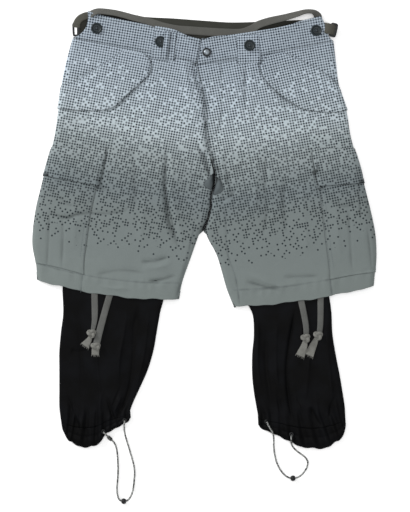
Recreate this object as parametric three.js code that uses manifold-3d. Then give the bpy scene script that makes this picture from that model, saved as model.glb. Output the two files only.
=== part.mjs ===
import * as THREE from 'three';
import { mergeVertices } from 'three/addons/utils/BufferGeometryUtils.js';
import Module from 'manifold-3d';

// Cargo shorts lying flat on their back, with the two legs of a black liner coming out of the hems.
// Millimetres, +Z up from the surface they lie on. +Y runs from the hems to the waist, and +X is to
// the wearer's left, so "right" and "left" are the wearer's. The origin is under the middle.

// ---- Cloth and trim, as thicknesses and widths
const PRINT_CLOTH = 1.8;
const LINER_CLOTH = 1.1;
const DOUBLE_CLOTH = 2.4; // flaps and belt loops, cloth on cloth
const BAND_CLOTH = 3; // waistband: two layers and their turnings
const SEAM_GAP = 0.4; // between pieces that are sewn together
const TAPE = { width: 15, thickness: 1.4 };
const TIE = { thickness: 1.1 };
const CORD_DIAMETER = 3;
const BUTTON = { diameter: 20, thickness: 3.4 };
const SNAP = { diameter: 16, thickness: 4 };
const EYELET = { outer: 4, inner: 2.1, thickness: 0.9 };

// ---- Heights of the lay, measured up to each layer's outer face
const FRONT_Z = 7.4; // front panels over the back panels
const LINER_LIFT = 1.7; // extra height of a hem where the liner is under it
const HEM = { depth: 30, extra: 0.8 }; // the turned-up hem
const BAND_Z = 9.4;
const BAND_EDGE_Z = 7.6; // at the outer ends
const BAND_ROUND = 9;
const LINER_Z = 4.9;
const SIDE_ROUND = 11; // how far in from a side the front rounds over
const LINER_ROUND = 9;
const EDGE_Z = PRINT_CLOTH + SEAM_GAP; // a front panel ends here, on the back panel's face
const LINER_EDGE_Z = LINER_CLOTH + 1.5 * SEAM_GAP;
const CROTCH = { y: 98, blend: 16 }; // below it the inner edges round over like the sides

// ---- Outlines. Each row crosses a leg from its outer edge to its inner edge, from waist to hem;
// bow is how far the middle of the row hangs below the straight line between its ends.
const row = (outX, outY, inX, inY, bow = 0) => ({ outX, outY, inX, inY, bow });
const LEG = {
  right: [
    row(-238, 343, -4, 296, -2),
    row(-249, 303, -1, 256),
    row(-258, 260, 2, 217),
    row(-264, 213, 4, 177),
    row(-271, 165, 7, 138),
    row(-282, 122, 13, 93),
    row(-292, 80, 10.5, 58),
    row(-302, 39, 5, 26, 2),
    row(-308, -3, -6, -6, 4),
    row(-309, -32, -22, -53, 5),
    row(-304, -61, -34, -96, 9),
    row(-302, -92, -44, -127, 10),
  ],
  left: [
    row(233, 336, -3, 296),
    row(238, 292, 1, 256),
    row(243, 256, 4, 217),
    row(256, 213, 6, 177),
    row(264, 165, 9, 138),
    row(278, 116, 18, 93),
    row(288, 73, 16, 58),
    row(298, 33, 9, 26, 2),
    row(306, -6, 3, -8, 2),
    row(309, -42, 19, -50, 4),
    row(308, -73, 40, -108, 5),
    row(305, -103, 53, -140, 7),
  ],
};
const BACK_SEAM = { outY: 331, inY: 324, bow: 0 }; // where the back panels start, at the back waistband
const SEAT_SEAM = { endY: 6, blend: 22, gap: 0.5 }; // the back panels meet down to here

// The liner's legs, from just inside the hem down to where the cuff's gathers start.
const LINER = {
  right: [
    row(-253, -76, -66, -90),
    row(-256, -111, -73, -125),
    row(-255, -152, -80, -152),
    row(-259, -186, -86, -186),
    row(-262, -222, -92, -220),
    row(-262, -257, -102, -254),
    row(-262, -291, -115, -284),
    row(-262, -320, -128, -312),
    row(-260, -340, -134, -328),
  ],
  left: [
    row(222, -76, 66, -98),
    row(224, -114, 76, -132),
    row(229, -150, 87, -156),
    row(231, -190, 89, -192),
    row(237, -228, 86, -228),
    row(244, -264, 86, -264),
    row(249, -294, 89, -294),
    row(253, -320, 93, -318),
    row(254, -336, 96, -334),
  ],
};
// The cuffs' lower edges, from the outer side to the inner side.
const point = (x, y) => ({ x, y });
const CUFF_EDGE = {
  right: [
    point(-257, -360),
    point(-250, -374),
    point(-240, -385),
    point(-224, -392),
    point(-205, -393),
    point(-190, -386),
    point(-177, -370),
    point(-162, -360),
    point(-146, -353),
    point(-133, -341),
  ],
  left: [
    point(255, -354),
    point(250, -372),
    point(236, -385),
    point(220, -394),
    point(196, -396),
    point(174, -392),
    point(154, -384),
    point(134, -373),
    point(114, -366),
    point(97, -354),
  ],
};
const CUFF_SEAM = 0.42; // where the cuff starts, as a share of the way from the leg to its edge
const GATHERS = { count: 9, height: 1.3, scallop: 1.5 };

// Top edges of the waistband, from the outer end to the fly, and the ends' own outlines going up.
const BAND_TOP = {
  right: [point(-210, 390), point(-192, 385), point(-148, 376), point(-102, 367), point(-58, 358),
    point(-32, 346), point(-7, 338)],
  left: [point(210, 381), point(177, 373), point(140, 362), point(94, 354), point(53, 348),
    point(17, 344), point(-4, 338)],
};
const BAND_END = {
  right: [point(-238, 343), point(-227, 347), point(-219, 354), point(-213, 363), point(-210, 376),
    point(-210, 390)],
  left: [point(232, 336), point(225, 343), point(221, 351), point(219, 362), point(214, 373),
    point(210, 381)],
};
const BACK_BAND_TOP = [point(-230, 374), point(-206, 383), point(-152, 381), point(-94, 380),
  point(-53, 378), point(0, 374), point(46, 371), point(93, 372), point(145, 374), point(179, 375),
  point(212, 370)];
const BACK_BAND_BOTTOM = { side: 332, middle: 324.8, halfWidth: 240 };

// Slanting hip flaps: the sewn edge and the free edge, from the side seam to the waistband.
const flapRow = (sewnX, sewnY, freeX, freeY) => ({ sewnX, sewnY, freeX, freeY });
const HIP_FLAP = {
  right: [
    flapRow(-257, 258, -264, 217),
    flapRow(-232, 265, -226, 213),
    flapRow(-213, 277, -190, 213),
    flapRow(-199, 287, -164, 220),
    flapRow(-186, 295, -134, 248),
    flapRow(-173, 303, -111, 266),
    flapRow(-161, 311, -100, 282),
    flapRow(-153, 316, -99, 300),
    flapRow(-148, 321, -110, 314),
  ],
  left: [
    flapRow(243, 254, 256, 214),
    flapRow(234, 264, 236, 210),
    flapRow(224, 275, 206, 211),
    flapRow(210, 285, 177, 216),
    flapRow(196, 293, 149, 234),
    flapRow(181, 300, 122, 256),
    flapRow(166, 307, 106, 275),
    flapRow(152, 313, 103, 295),
    flapRow(143, 317, 113, 311),
  ],
};

// Cargo pockets: the front edge's x at each height; the other edge wraps round the side.
const edgeRow = (y, x) => ({ y, x });
const CARGO = {
  lift: 2.6, // how far the bellows stands off the leg
  flapTop: { right: 147, left: 145 },
  flapBottom: { right: 78, left: 77 },
  flapDrop: { right: 17, left: 5 }, // how much higher the flap's edge is at the side than in front
  pocketTop: { right: 133, left: 131 },
  pocketBottom: { right: -60, left: -76 },
  front: {
    right: [edgeRow(150, -179), edgeRow(78, -194), edgeRow(22, -206), edgeRow(-60, -217)],
    left: [edgeRow(150, 196), edgeRow(77, 206), edgeRow(-10, 216), edgeRow(-76, 225)],
  },
};

// The plain gusset that shows on each side of the crotch, from its top to its lower tip: how far its
// outer edge stands from the inner edge of the leg.
const gussetRow = (y, reach) => ({ y, reach });
const GUSSET = {
  right: [gussetRow(100, 5), gussetRow(94, 12), gussetRow(87, 16), gussetRow(80, 16), gussetRow(74, 11),
    gussetRow(70, 5)],
  left: [gussetRow(92, 5), gussetRow(85, 13), gussetRow(78, 16), gussetRow(71, 16), gussetRow(66, 11),
    gussetRow(62, 5)],
};

// Main folds of each front: a straight ridge, or a trough where height is negative.
const fold = (x0, y0, x1, y1, width, height) => ({ x0, y0, x1, y1, width, height });
const FOLDS = {
  right: [
    fold(-82, 130, -46, -40, 9, -2.2), // down the thigh
    fold(-64, 120, -30, -30, 12, 1.6),
    fold(-36, 300, -24, 215, 15, 1.4), // beside the fly
    fold(-52, 110, 2, 96, 11, 1.2), // drawn towards the crotch
    fold(-96, -52, -40, -44, 9, 0.9), // across the hem
  ],
  left: [
    fold(109, 160, 111, -10, 8, -1.6),
    fold(92, 150, 88, 0, 13, 1.2),
    fold(75, 285, 75, 210, 7, -1.2), // under the belt loop
    fold(70, 122, 22, 100, 11, 1.2),
    fold(66, -82, 136, -92, 9, 1.1), // across the hem
  ],
};
const LINER_FOLDS = {
  right: [
    fold(-124, -170, -134, -260, 10, -1.5),
    fold(-136, -250, -168, -345, 9, -1.5),
    fold(-112, -180, -122, -280, 10, 1.2),
    fold(-200, -260, -176, -350, 12, 1.1),
  ],
  left: [
    fold(160, -190, 148, -300, 8, -1.7),
    fold(148, -290, 160, -365, 8, -1.5),
    fold(134, -200, 128, -330, 12, 1.2),
    fold(186, -310, 214, -370, 9, -1.3),
  ],
};

// The four ties at the hems: [x, y, width] down the middle of the tape, then the knot's size and
// [x, y, width] of the cut tail beyond it.
const TIES = {
  right_outer: {
    leg: 'right',
    route: [[-198, -84, 12.6], [-198, -115, 12.6], [-197.5, -145, 12.6], [-198, -165, 11], [-201, -183, 8]],
    knot: { along: 10, across: 11, high: 5.6 },
    tail: [[-208, -199, 9], [-216, -210, 14]],
  },
  right_inner: {
    leg: 'right',
    route: [[-161, -88, 12.6], [-171, -121, 12.6], [-180, -152, 12.8], [-189, -186, 13.4], [-194, -207, 13.6]],
    knot: { along: 7, across: 15, high: 4.6 },
    tail: [[-196, -216, 15], [-196.5, -225, 11]],
  },
  left_inner: {
    leg: 'left',
    route: [[165, -94, 12.6], [173, -126, 12.6], [179, -154, 12], [182.5, -176, 11.5], [183, -191, 10.5]],
    knot: { along: 10, across: 12, high: 5.6 },
    tail: [[178, -213, 9], [173, -228, 13]],
  },
  left_outer: {
    leg: 'left',
    route: [[209, -84, 12.6], [209, -116, 12.4], [209, -150, 12], [208.5, -172, 11.5], [207, -187, 10.5]],
    knot: { along: 11, across: 13, high: 5.6 },
    tail: [[195, -209, 10], [189, -228, 13]],
  },
};

// The tape along the inside of the waist: centre x, y, z, and its roll in degrees.
const tapeRow = (x, y, z, roll) => ({ x, y, z, roll, width: TAPE.width });
const WAIST_TAPE = [
  tapeRow(-198, 386, 4.3, 0), tapeRow(-180, 385, 4.3, 0), tapeRow(-148, 382, 4.3, 0),
  tapeRow(-112, 375, 4.3, 0), tapeRow(-84, 367, 4.3, 0), tapeRow(-58, 360, 4.3, 0),
  tapeRow(-30, 357, 4.3, 0), tapeRow(2, 355, 4.3, 0), tapeRow(40, 353, 4.3, 0),
  tapeRow(66, 353, 4.3, 0), tapeRow(84, 359, 4.3, 0), tapeRow(98, 368, 4.3, 0),
  tapeRow(120, 375, 4.3, 0), tapeRow(148, 379, 4.6, -8), tapeRow(174, 386, 6.8, -35),
  tapeRow(194, 392, 7.8, -52), tapeRow(206, 391, 7.2, -45), tapeRow(213, 385, 4.6, -6),
  tapeRow(214, 379, 4.2, 0),
];

// The cuff cords: centre x, y, z from one eyelet, round the loop on the surface, to the other.
const CORDS = {
  right: [[-144, -346, 8.7], [-144.5, -352, 9.3], [-144.5, -360, 8], [-143, -372, 3.6],
    [-139, -387, 1.8], [-133, -407, 1.8], [-128, -425, 1.8], [-126, -440, 1.8], [-127, -455, 1.8],
    [-128.5, -469, 2.2], [-131.5, -480, 3.4], [-136, -487.6, 4.8], [-141, -490.9, 5.3],
    [-145.5, -491.4, 5.3], [-150, -490.9, 5.3], [-154.5, -487, 4.6], [-157, -479, 3],
    [-158, -468, 2], [-157, -456, 1.8], [-156, -442, 1.8], [-156, -428, 1.8], [-157, -410, 1.8],
    [-159, -395, 3.4], [-163.5, -384.8, 5.9], [-171, -377.5, 7], [-178.5, -370.2, 8.4],
    [-182.5, -366, 8.7]],
  left: [[112, -348, 8.7], [115, -354, 9.3], [119, -361, 8.6], [123.5, -370, 6],
    [125, -380, 3], [125, -394, 1.8], [127, -409, 1.8], [131, -424, 1.9], [138, -437, 2.8],
    [146, -445.6, 4.4], [155, -449.8, 5.25], [159.5, -450.1, 5.25], [164, -449.8, 5.25],
    [172, -446.4, 4.4], [179, -440, 2.8], [185, -430, 1.9], [186, -420, 1.8], [181, -412, 1.8],
    [173, -406, 1.8], [165, -400, 2.4], [158.5, -392, 5], [156, -384, 8], [156, -377, 9.2],
    [156.5, -371, 8.8]],
};
const BEAD = { radius: 5, length: 8, bore: 2.8 };
const BEAD_AT = {
  right: { x: -145.5, y: -491.4, z: 5.3 },
  left: { x: 159.5, y: -450, z: 5.25 },
};
const SLEEVE = { radius: 3.2, length: 11, bore: 2.1, x: -171, y: -377.5, z: 7, turn: 136, tip: -7 };

// Buttons, snap, belt loops and side adjusters.
const BUTTONS = [point(-194, 360), point(-79, 336), point(81, 329), point(201, 356)];
const SNAP_AT = point(4, 317);
const BELT_LOOP = { width: 41, tall: 52, right: point(-73, 329), left: point(79, 323), tilt: { right: -6, left: 3 } };
const FLY_SHIELD = { width: 36, top: 326, bottom: 150 };
const STRAP = { width: 15, thickness: 1.6, z: 4.2,
  right: [[-203, 370], [-212, 370], [-222, 371], [-231, 371]],
  left: [[204, 364], [212, 362], [222, 360], [231, 358]] };
const BUCKLE = { length: 25, width: 13, bar: 3, thickness: 2,
  right: { x: -232.5, y: 362, z: 6.6, turn: 94 }, left: { x: 233, y: 357.5, z: 6.9, turn: 77 } };

const { clamp, lerp, smoothstep, degToRad } = THREE.MathUtils;
const SIGN = { right: -1, left: 1 };
const SIDES = ['right', 'left'];

/** A table column's smooth value at row number t, by Catmull-Rom through the rows. */
function column(table, name, t) {
  const last = table.length - 1;
  const at = clamp(t, 0, last);
  const i = Math.min(Math.floor(at), last - 1);
  const f = at - i;
  const value = (k) => table[clamp(k, 0, last)][name];
  const [a, b, c, d] = [value(i - 1), value(i), value(i + 1), value(i + 2)];
  return b + 0.5 * f * (c - a + f * (2 * a - 5 * b + 4 * c - d + f * (3 * (b - c) + d - a)));
}

/** The row number at which a falling column reaches a value. */
function rowAt(table, name, value) {
  let low = 0;
  let high = table.length - 1;
  for (let step = 0; step < 24; step += 1) {
    const mid = (low + high) / 2;
    if (column(table, name, mid) > value) low = mid;
    else high = mid;
  }
  return (low + high) / 2;
}

/** The x of a table's outer or inner edge at height y. */
const edgeX = (table, edge, y) => column(table, edge + 'X', rowAt(table, edge + 'Y', y));

/** 0 at an edge, rising like a quarter circle to 1 one radius inside it. */
const roundOver = (inside, radius) => Math.sqrt(1 - (1 - clamp(inside / radius, 0, 1)) ** 2);

/** The height that a list of folds adds at a place: each is a soft ridge that fades at its ends. */
function foldHeight(folds, x, y) {
  let total = 0;
  for (const { x0, y0, x1, y1, width, height } of folds) {
    const length = Math.hypot(x1 - x0, y1 - y0);
    const along = ((x - x0) * (x1 - x0) + (y - y0) * (y1 - y0)) / length;
    const across = ((x - x0) * (y1 - y0) - (y - y0) * (x1 - x0)) / length;
    const fade = smoothstep(along, -0.15 * length, 0.3 * length)
      * smoothstep(length - along, -0.15 * length, 0.3 * length);
    total += height * fade * Math.exp(-((across / width) ** 2));
  }
  return total;
}

/** A closed wall between two equal grids of points, its faces turned outwards. */
function wallGeometry(outer, inner) {
  const rows = outer.length;
  const columns = outer[0].length;
  const positions = [outer, inner].flat(2).flatMap((p) => [p.x, p.y, p.z]);
  const index = [];
  const quad = (a, b, c, d) => index.push(a, b, c, a, c, d);
  const at = (layer, r, c) => layer * rows * columns + r * columns + c;
  for (let r = 0; r < rows - 1; r += 1) {
    for (let c = 0; c < columns - 1; c += 1) {
      quad(at(0, r, c), at(0, r, c + 1), at(0, r + 1, c + 1), at(0, r + 1, c));
      quad(at(1, r, c), at(1, r + 1, c), at(1, r + 1, c + 1), at(1, r, c + 1));
    }
    const last = columns - 1;
    quad(at(0, r, 0), at(0, r + 1, 0), at(1, r + 1, 0), at(1, r, 0));
    quad(at(0, r, last), at(1, r, last), at(1, r + 1, last), at(0, r + 1, last));
  }
  for (let c = 0; c < columns - 1; c += 1) {
    const last = rows - 1;
    quad(at(0, 0, c), at(1, 0, c), at(1, 0, c + 1), at(0, 0, c + 1));
    quad(at(0, last, c), at(0, last, c + 1), at(1, last, c + 1), at(1, last, c));
  }
  let volume = 0;
  const corner = (k) => new THREE.Vector3().fromArray(positions, 3 * k);
  for (let i = 0; i < index.length; i += 3) {
    volume += corner(index[i]).dot(corner(index[i + 1]).cross(corner(index[i + 2])));
  }
  if (volume < 0) {
    for (let i = 0; i < index.length; i += 3) [index[i + 1], index[i + 2]] = [index[i + 2], index[i + 1]];
  }
  return new THREE.BufferGeometry()
    .setAttribute('position', new THREE.Float32BufferAttribute(positions, 3))
    .setIndex(index);
}

/** A grid of points: make(r, c) for each row value and column value. */
const grid = (rowValues, columnValues, make) => rowValues.map((r) => columnValues.map((c) => make(r, c)));

/** count + 1 evenly spaced values from a to b. */
const steps = (a, b, count) => Array.from({ length: count + 1 }, (_, i) => lerp(a, b, i / count));

// ---- The front of a leg as one surface, which the panel and all that lies on it share

/** How much of the turned-up hem there is at a place: 0 above it and 1 on it. */
function hemShare(side, x, y) {
  const table = LEG[side];
  const t = clamp((x - edgeX(table, 'out', y)) / (edgeX(table, 'in', y) - edgeX(table, 'out', y)), 0, 1);
  const hem = table[table.length - 1];
  const hemY = lerp(hem.outY, hem.inY, t) - hem.bow * 4 * t * (1 - t);
  return { above: y - hemY, on: 1 - smoothstep(y - hemY, HEM.depth - 1.5, HEM.depth + 1.5) };
}

/** The height of a leg's outer face at a place, with its folds, hem and rounded sides. */
function frontHeight(side, x, y) {
  const table = LEG[side];
  const sign = SIGN[side];
  const hem = hemShare(side, x, y);
  const overLiner = 1 - smoothstep(hem.above, 15, 70);
  const linerInside = Math.min(
    sign * (edgeX(LINER[side], 'out', -100) - x), sign * (x - edgeX(LINER[side], 'in', -100)));
  const lift = LINER_LIFT * overLiner * smoothstep(linerInside, -22, 4);
  const flat = FRONT_Z + lift + HEM.extra * hem.on + foldHeight(FOLDS[side], x, y);
  const legShare = 1 - smoothstep(y, CROTCH.y - CROTCH.blend, CROTCH.y + CROTCH.blend);
  const outer = roundOver(sign * (edgeX(table, 'out', y) - x), SIDE_ROUND);
  const inner = lerp(1, roundOver(sign * (x - edgeX(table, 'in', y)), SIDE_ROUND), legShare);
  return EDGE_Z + (flat - EDGE_Z) * Math.min(outer, inner);
}

/** The outward normal of a height field; right at an edge that rounds over it points sideways. */
function surfaceNormal(height, x, y, sideways) {
  if (sideways) return new THREE.Vector3(sideways, 0, 0);
  const d = 0.25;
  return new THREE.Vector3(
    (height(x - d, y) - height(x + d, y)) / (2 * d),
    (height(x, y - d) - height(x, y + d)) / (2 * d),
    1,
  ).normalize();
}

/** A point of the front of a leg, moved out along the surface's normal. */
function frontPoint(side, x, y, out) {
  const sign = SIGN[side];
  const table = LEG[side];
  const onOuter = sign * (edgeX(table, 'out', y) - x) < 0.3;
  const onInner = sign * (x - edgeX(table, 'in', y)) < 0.3 && y < CROTCH.y - CROTCH.blend;
  const edge = onOuter ? edgeX(table, 'out', y) : x;
  const sideways = onOuter ? sign : onInner ? -sign : 0;
  const normal = surfaceNormal((px, py) => frontHeight(side, px, py), edge, y, sideways);
  return new THREE.Vector3(edge, y, frontHeight(side, edge, y)).addScaledVector(normal, out);
}

/** Where a row of a leg's table puts a point: t runs from the outer edge to the inner edge. */
function planPoint(table, rowNumber, t) {
  const outY = column(table, 'outY', rowNumber);
  const inY = column(table, 'inY', rowNumber);
  const outX = edgeX(table, 'out', outY);
  const inX = edgeX(table, 'in', inY);
  const bow = column(table, 'bow', rowNumber) * 4 * t * (1 - t);
  return { x: lerp(outX, inX, t), y: lerp(outY, inY, t) - bow };
}

/** Shares of the way across a leg: close together where the edges round over. */
function acrossLeg(width, count) {
  const near = [0, 0.5, 2.4, 6, 11].map((mm) => mm / width);
  return [...near, ...steps(near[4], 1 - near[4], count).slice(1, -1), ...near.map((v) => 1 - v).reverse()];
}

/** A front leg panel, from the waist seam to the hem. */
function frontPanel(side) {
  const table = LEG[side];
  const hemLine = table.length - 2;
  const rowNumbers = [...steps(0, hemLine - 0.04, 22), hemLine + 0.06, hemLine + 0.5, hemLine + 1];
  const layer = (out) => rowNumbers.map((r) => acrossLeg(270, 10).map((t) => {
    const { x, y } = planPoint(table, r, t);
    return frontPoint(side, x, y, out);
  }));
  return wallGeometry(layer(0), layer(-PRINT_CLOTH));
}

/** A back leg panel, flat on the surface: the front's sides and hem, and a straight seat seam. */
function backPanel(side) {
  const table = LEG[side].map((r, i) => (i ? r : { ...r, ...BACK_SEAM }));
  const seatX = (y) => (edgeX(LEG.right, 'in', y) + edgeX(LEG.left, 'in', y)) / 2 + SIGN[side] * SEAT_SEAM.gap / 2;
  const layer = (z) => grid(steps(0, table.length - 1, 26), steps(0, 1, 3), (r, t) => {
    const { x, y } = planPoint(table, r, t);
    const seat = smoothstep(y, SEAT_SEAM.endY - SEAT_SEAM.blend, SEAT_SEAM.endY + SEAT_SEAM.blend);
    return new THREE.Vector3(t === 1 ? lerp(x, seatX(y), seat) : x, y, z);
  });
  return wallGeometry(layer(PRINT_CLOTH), layer(0));
}

/** Something sewn on a leg: plan(r, c) gives x and y, off(r, c) how far its inner face stands off. */
function onFront(side, rowValues, columnValues, plan, off, thickness) {
  const layer = (extra) => grid(rowValues, columnValues, (r, c) => {
    const { x, y } = plan(r, c);
    return frontPoint(side, x, y, off(r, c) + extra);
  });
  return wallGeometry(layer(thickness), layer(0));
}

/** A slanting hip pocket flap: sewn along its upper edge, free along its curved lower edge. */
function hipFlap(side) {
  const table = HIP_FLAP[side];
  const plan = (r, t) => {
    const y = lerp(column(table, 'sewnY', r), column(table, 'freeY', r), t);
    const x = lerp(column(table, 'sewnX', r), column(table, 'freeX', r), t);
    return { x: r ? x : edgeX(LEG[side], 'out', y), y };
  };
  const rows = [0, 0.03, 0.12, 0.3, 0.6, ...steps(1, table.length - 1, 11)];
  return onFront(side, rows, steps(0, 1, 5), plan, (r, t) => 0.8 + 0.7 * t, DOUBLE_CLOTH);
}

/** Shares of the way from a cargo pocket's front edge to the side, closer where it wraps round. */
const TO_SIDE = [0, 0.04, 0.14, 0.32, 0.52, 0.72, 0.86, 0.93, 0.975, 0.995, 1];

/** The front edge of a cargo pocket or its flap at height y. */
function cargoFront(side, y) {
  const table = CARGO.front[side];
  return column(table, 'x', rowAt(table, 'y', y));
}

/** How far a cargo pocket's inner face stands off the leg, near its edges and in its middle. */
function cargoLift(side, y, t) {
  const fromTop = CARGO.pocketTop[side] - y;
  const fromBottom = y - CARGO.pocketBottom[side];
  return 0.8 + CARGO.lift * smoothstep(fromTop, 0, 30) * smoothstep(fromBottom, -2, 12)
    * smoothstep(t, -0.02, 0.1) * (1 - 0.5 * smoothstep(t, 0.75, 1));
}

function cargoPocket(side) {
  const plan = (y, t) => ({ x: lerp(cargoFront(side, y), edgeX(LEG[side], 'out', y), t), y });
  return onFront(side, steps(CARGO.pocketTop[side], CARGO.pocketBottom[side], 12), TO_SIDE, plan,
    (y, t) => cargoLift(side, y, t), PRINT_CLOTH);
}

/** A cargo pocket's flap: sewn along its top, it hangs over the pocket and past its front edge. */
function cargoFlap(side) {
  const overhang = 2.5 * -SIGN[side];
  const top = CARGO.flapTop[side];
  const plan = (v, t) => {
    const y = lerp(top, CARGO.flapBottom[side] + CARGO.flapDrop[side] * t, v);
    return { x: lerp(cargoFront(side, y) + overhang, edgeX(LEG[side], 'out', y), t), y };
  };
  const overPocket = (v, t) => {
    const { y } = plan(v, t);
    const clear = cargoLift(side, Math.min(y, CARGO.pocketTop[side]), Math.max(t, 0.1)) + PRINT_CLOTH + 0.5;
    return lerp(0.9, clear, smoothstep(v, 0, 0.2));
  };
  return onFront(side, steps(0, 1, 7), TO_SIDE, plan, overPocket, DOUBLE_CLOTH);
}

/** The part of the crotch gusset that shows beside a leg's inner edge. */
function crotchGusset(side) {
  const table = GUSSET[side];
  const plan = (r, t) => {
    const y = column(table, 'y', r);
    return { x: edgeX(LEG[side], 'in', y) + SIGN[side] * t * column(table, 'reach', r), y };
  };
  return onFront(side, steps(0, table.length - 1, 8), [0, 0.06, 0.25, 0.6, 1], plan, () => 0.8, PRINT_CLOTH / 2);
}

// ---- Waistband

/** The x and y of the front waistband: t from its outer end to the fly, v from the seam to the top. */
function bandPlan(side, t, v) {
  const top = BAND_TOP[side];
  const end = BAND_END[side];
  const seam = planPoint(LEG[side], 0, t);
  const above = { x: column(top, 'x', t * (top.length - 1)), y: column(top, 'y', t * (top.length - 1)) };
  const endAt = { x: column(end, 'x', v * (end.length - 1)), y: column(end, 'y', v * (end.length - 1)) };
  const straightEnd = { x: lerp(end[0].x, end.at(-1).x, v), y: lerp(end[0].y, end.at(-1).y, v) };
  const pull = (1 - t) ** 8;
  return {
    x: lerp(seam.x, above.x, v) + pull * (endAt.x - straightEnd.x),
    y: lerp(seam.y + SEAM_GAP + 0.2, above.y, v) + pull * (endAt.y - straightEnd.y),
  };
}

/** The front waistband's outer face: flat, and rounded over at its outer end. */
const bandHeight = (t) => lerp(BAND_EDGE_Z, BAND_Z, roundOver(t * 240, BAND_ROUND));

function frontWaistband(side) {
  const across = [0, 0.005, 0.016, 0.04, ...steps(0.1, 1, 11)];
  const layer = (drop) => grid(steps(0, 1, 5), across, (v, t) => {
    const { x, y } = bandPlan(side, t, v);
    return new THREE.Vector3(x, y, bandHeight(t) - drop);
  });
  return wallGeometry(layer(0), layer(BAND_CLOTH - 0.6));
}

function backWaistband() {
  const last = BACK_BAND_TOP.length - 1;
  const layer = (z) => grid(steps(0, last, 20), steps(0, 1, 2), (r, v) => {
    const top = { x: column(BACK_BAND_TOP, 'x', r), y: column(BACK_BAND_TOP, 'y', r) };
    const { middle, side, halfWidth } = BACK_BAND_BOTTOM;
    const bottom = lerp(middle, side, Math.abs(top.x) / halfWidth);
    return new THREE.Vector3(top.x, lerp(bottom, top.y, v), z);
  });
  return wallGeometry(layer(BAND_CLOTH), layer(0));
}

/** The strip behind the fly, under both fronts. */
function flyShield() {
  const under = FRONT_Z - PRINT_CLOTH - 0.7;
  const layer = (z) => grid(steps(FLY_SHIELD.top - 34, FLY_SHIELD.bottom, 12), [-0.5, 0.5], (y, c) => (
    new THREE.Vector3(edgeX(LEG.left, 'in', y) - 4 + c * FLY_SHIELD.width, y, z)
  ));
  return wallGeometry(layer(under), layer(under - 1.2));
}

/** A wide belt loop, a flat tab over the waistband and a little way down the front. */
function beltLoop(side) {
  const { width, tall } = BELT_LOOP;
  const centre = BELT_LOOP[side];
  const tilt = degToRad(BELT_LOOP.tilt[side]);
  const layer = (z) => grid([-0.5, -0.3, 0.3, 0.5], steps(-0.5, 0.5, 2), (v, t) => {
    const [dx, dy] = [t * width, v * tall];
    return new THREE.Vector3(
      centre.x + dx * Math.cos(tilt) - dy * Math.sin(tilt),
      centre.y + dx * Math.sin(tilt) + dy * Math.cos(tilt),
      BAND_Z + 0.4 + z,
    );
  });
  return wallGeometry(layer(DOUBLE_CLOTH - 0.6), layer(0));
}

// ---- Liner

/** The x and y of a liner leg: r is a row number, then one more row down to the cuff's edge. */
function linerPlan(side, r, t) {
  const table = LINER[side];
  const last = table.length - 1;
  const leg = planPoint(table, Math.min(r, last), t);
  const down = clamp(r - last, 0, 1);
  const edge = CUFF_EDGE[side];
  const cuff = { x: column(edge, 'x', t * (edge.length - 1)), y: column(edge, 'y', t * (edge.length - 1)) };
  const scallop = GATHERS.scallop * Math.cos(2 * Math.PI * GATHERS.count * t) * down ** 3;
  return { x: lerp(leg.x, cuff.x, down), y: lerp(leg.y, cuff.y, down) + scallop };
}

/** Height of what is under the liner at a place: it climbs over the back panel's hem into the leg. */
function underLiner(side, x, y) {
  return (PRINT_CLOTH + SEAM_GAP) * (1 - smoothstep(-hemShare(side, x, y).above, 6, 24));
}

/** The height of a liner leg's upper face. */
function linerHeight(side, r, t) {
  const last = LINER[side].length - 1;
  const { x, y } = linerPlan(side, r, t);
  const edgeZ = LINER_EDGE_Z + underLiner(side, x, y);
  const width = Math.abs(linerPlan(side, r, 1).x - linerPlan(side, r, 0).x);
  const outside = smoothstep(r, 1.4, 3);
  const down = clamp(r - last, 0, 1);
  const gathers = GATHERS.height * Math.cos(2 * Math.PI * GATHERS.count * t) * smoothstep(r, last - 1.2, last + 0.8);
  const flat = LINER_Z + 0.7 * outside + outside * foldHeight(LINER_FOLDS[side], x, y) + gathers - 1.1 * down ** 2;
  return edgeZ + (flat - edgeZ) * roundOver(Math.min(t, 1 - t) * width, LINER_ROUND);
}

/** A point of the liner's upper wall, moved out: sideways at the edges and up elsewhere. */
function linerPoint(side, r, t, out) {
  const { x, y } = linerPlan(side, r, t);
  const sideways = t === 0 ? SIGN[side] : t === 1 ? -SIGN[side] : 0;
  return new THREE.Vector3(x + sideways * out, y, linerHeight(side, r, t) + (sideways ? 0 : out));
}

/** A stretch of the liner's upper wall between two row numbers. */
function linerFront(side, from, to, count) {
  const across = acrossLeg(150, 8);
  const layer = (out) => grid(steps(from, to, count), across, (r, t) => linerPoint(side, r, t, out));
  return wallGeometry(layer(0), layer(-LINER_CLOTH));
}

/** The matching stretch of the liner's lower wall, on the surface or on the back panel's hem. */
function linerBack(side, from, to, count) {
  const inset = 0.012;
  const layer = (z) => grid(steps(from, to, count), steps(inset, 1 - inset, 6), (r, t) => {
    const { x, y } = linerPlan(side, r, t);
    return new THREE.Vector3(x, y, underLiner(side, x, y) + z);
  });
  return wallGeometry(layer(LINER_CLOTH), layer(0));
}

// ---- Tapes, ties, straps and cords

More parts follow.
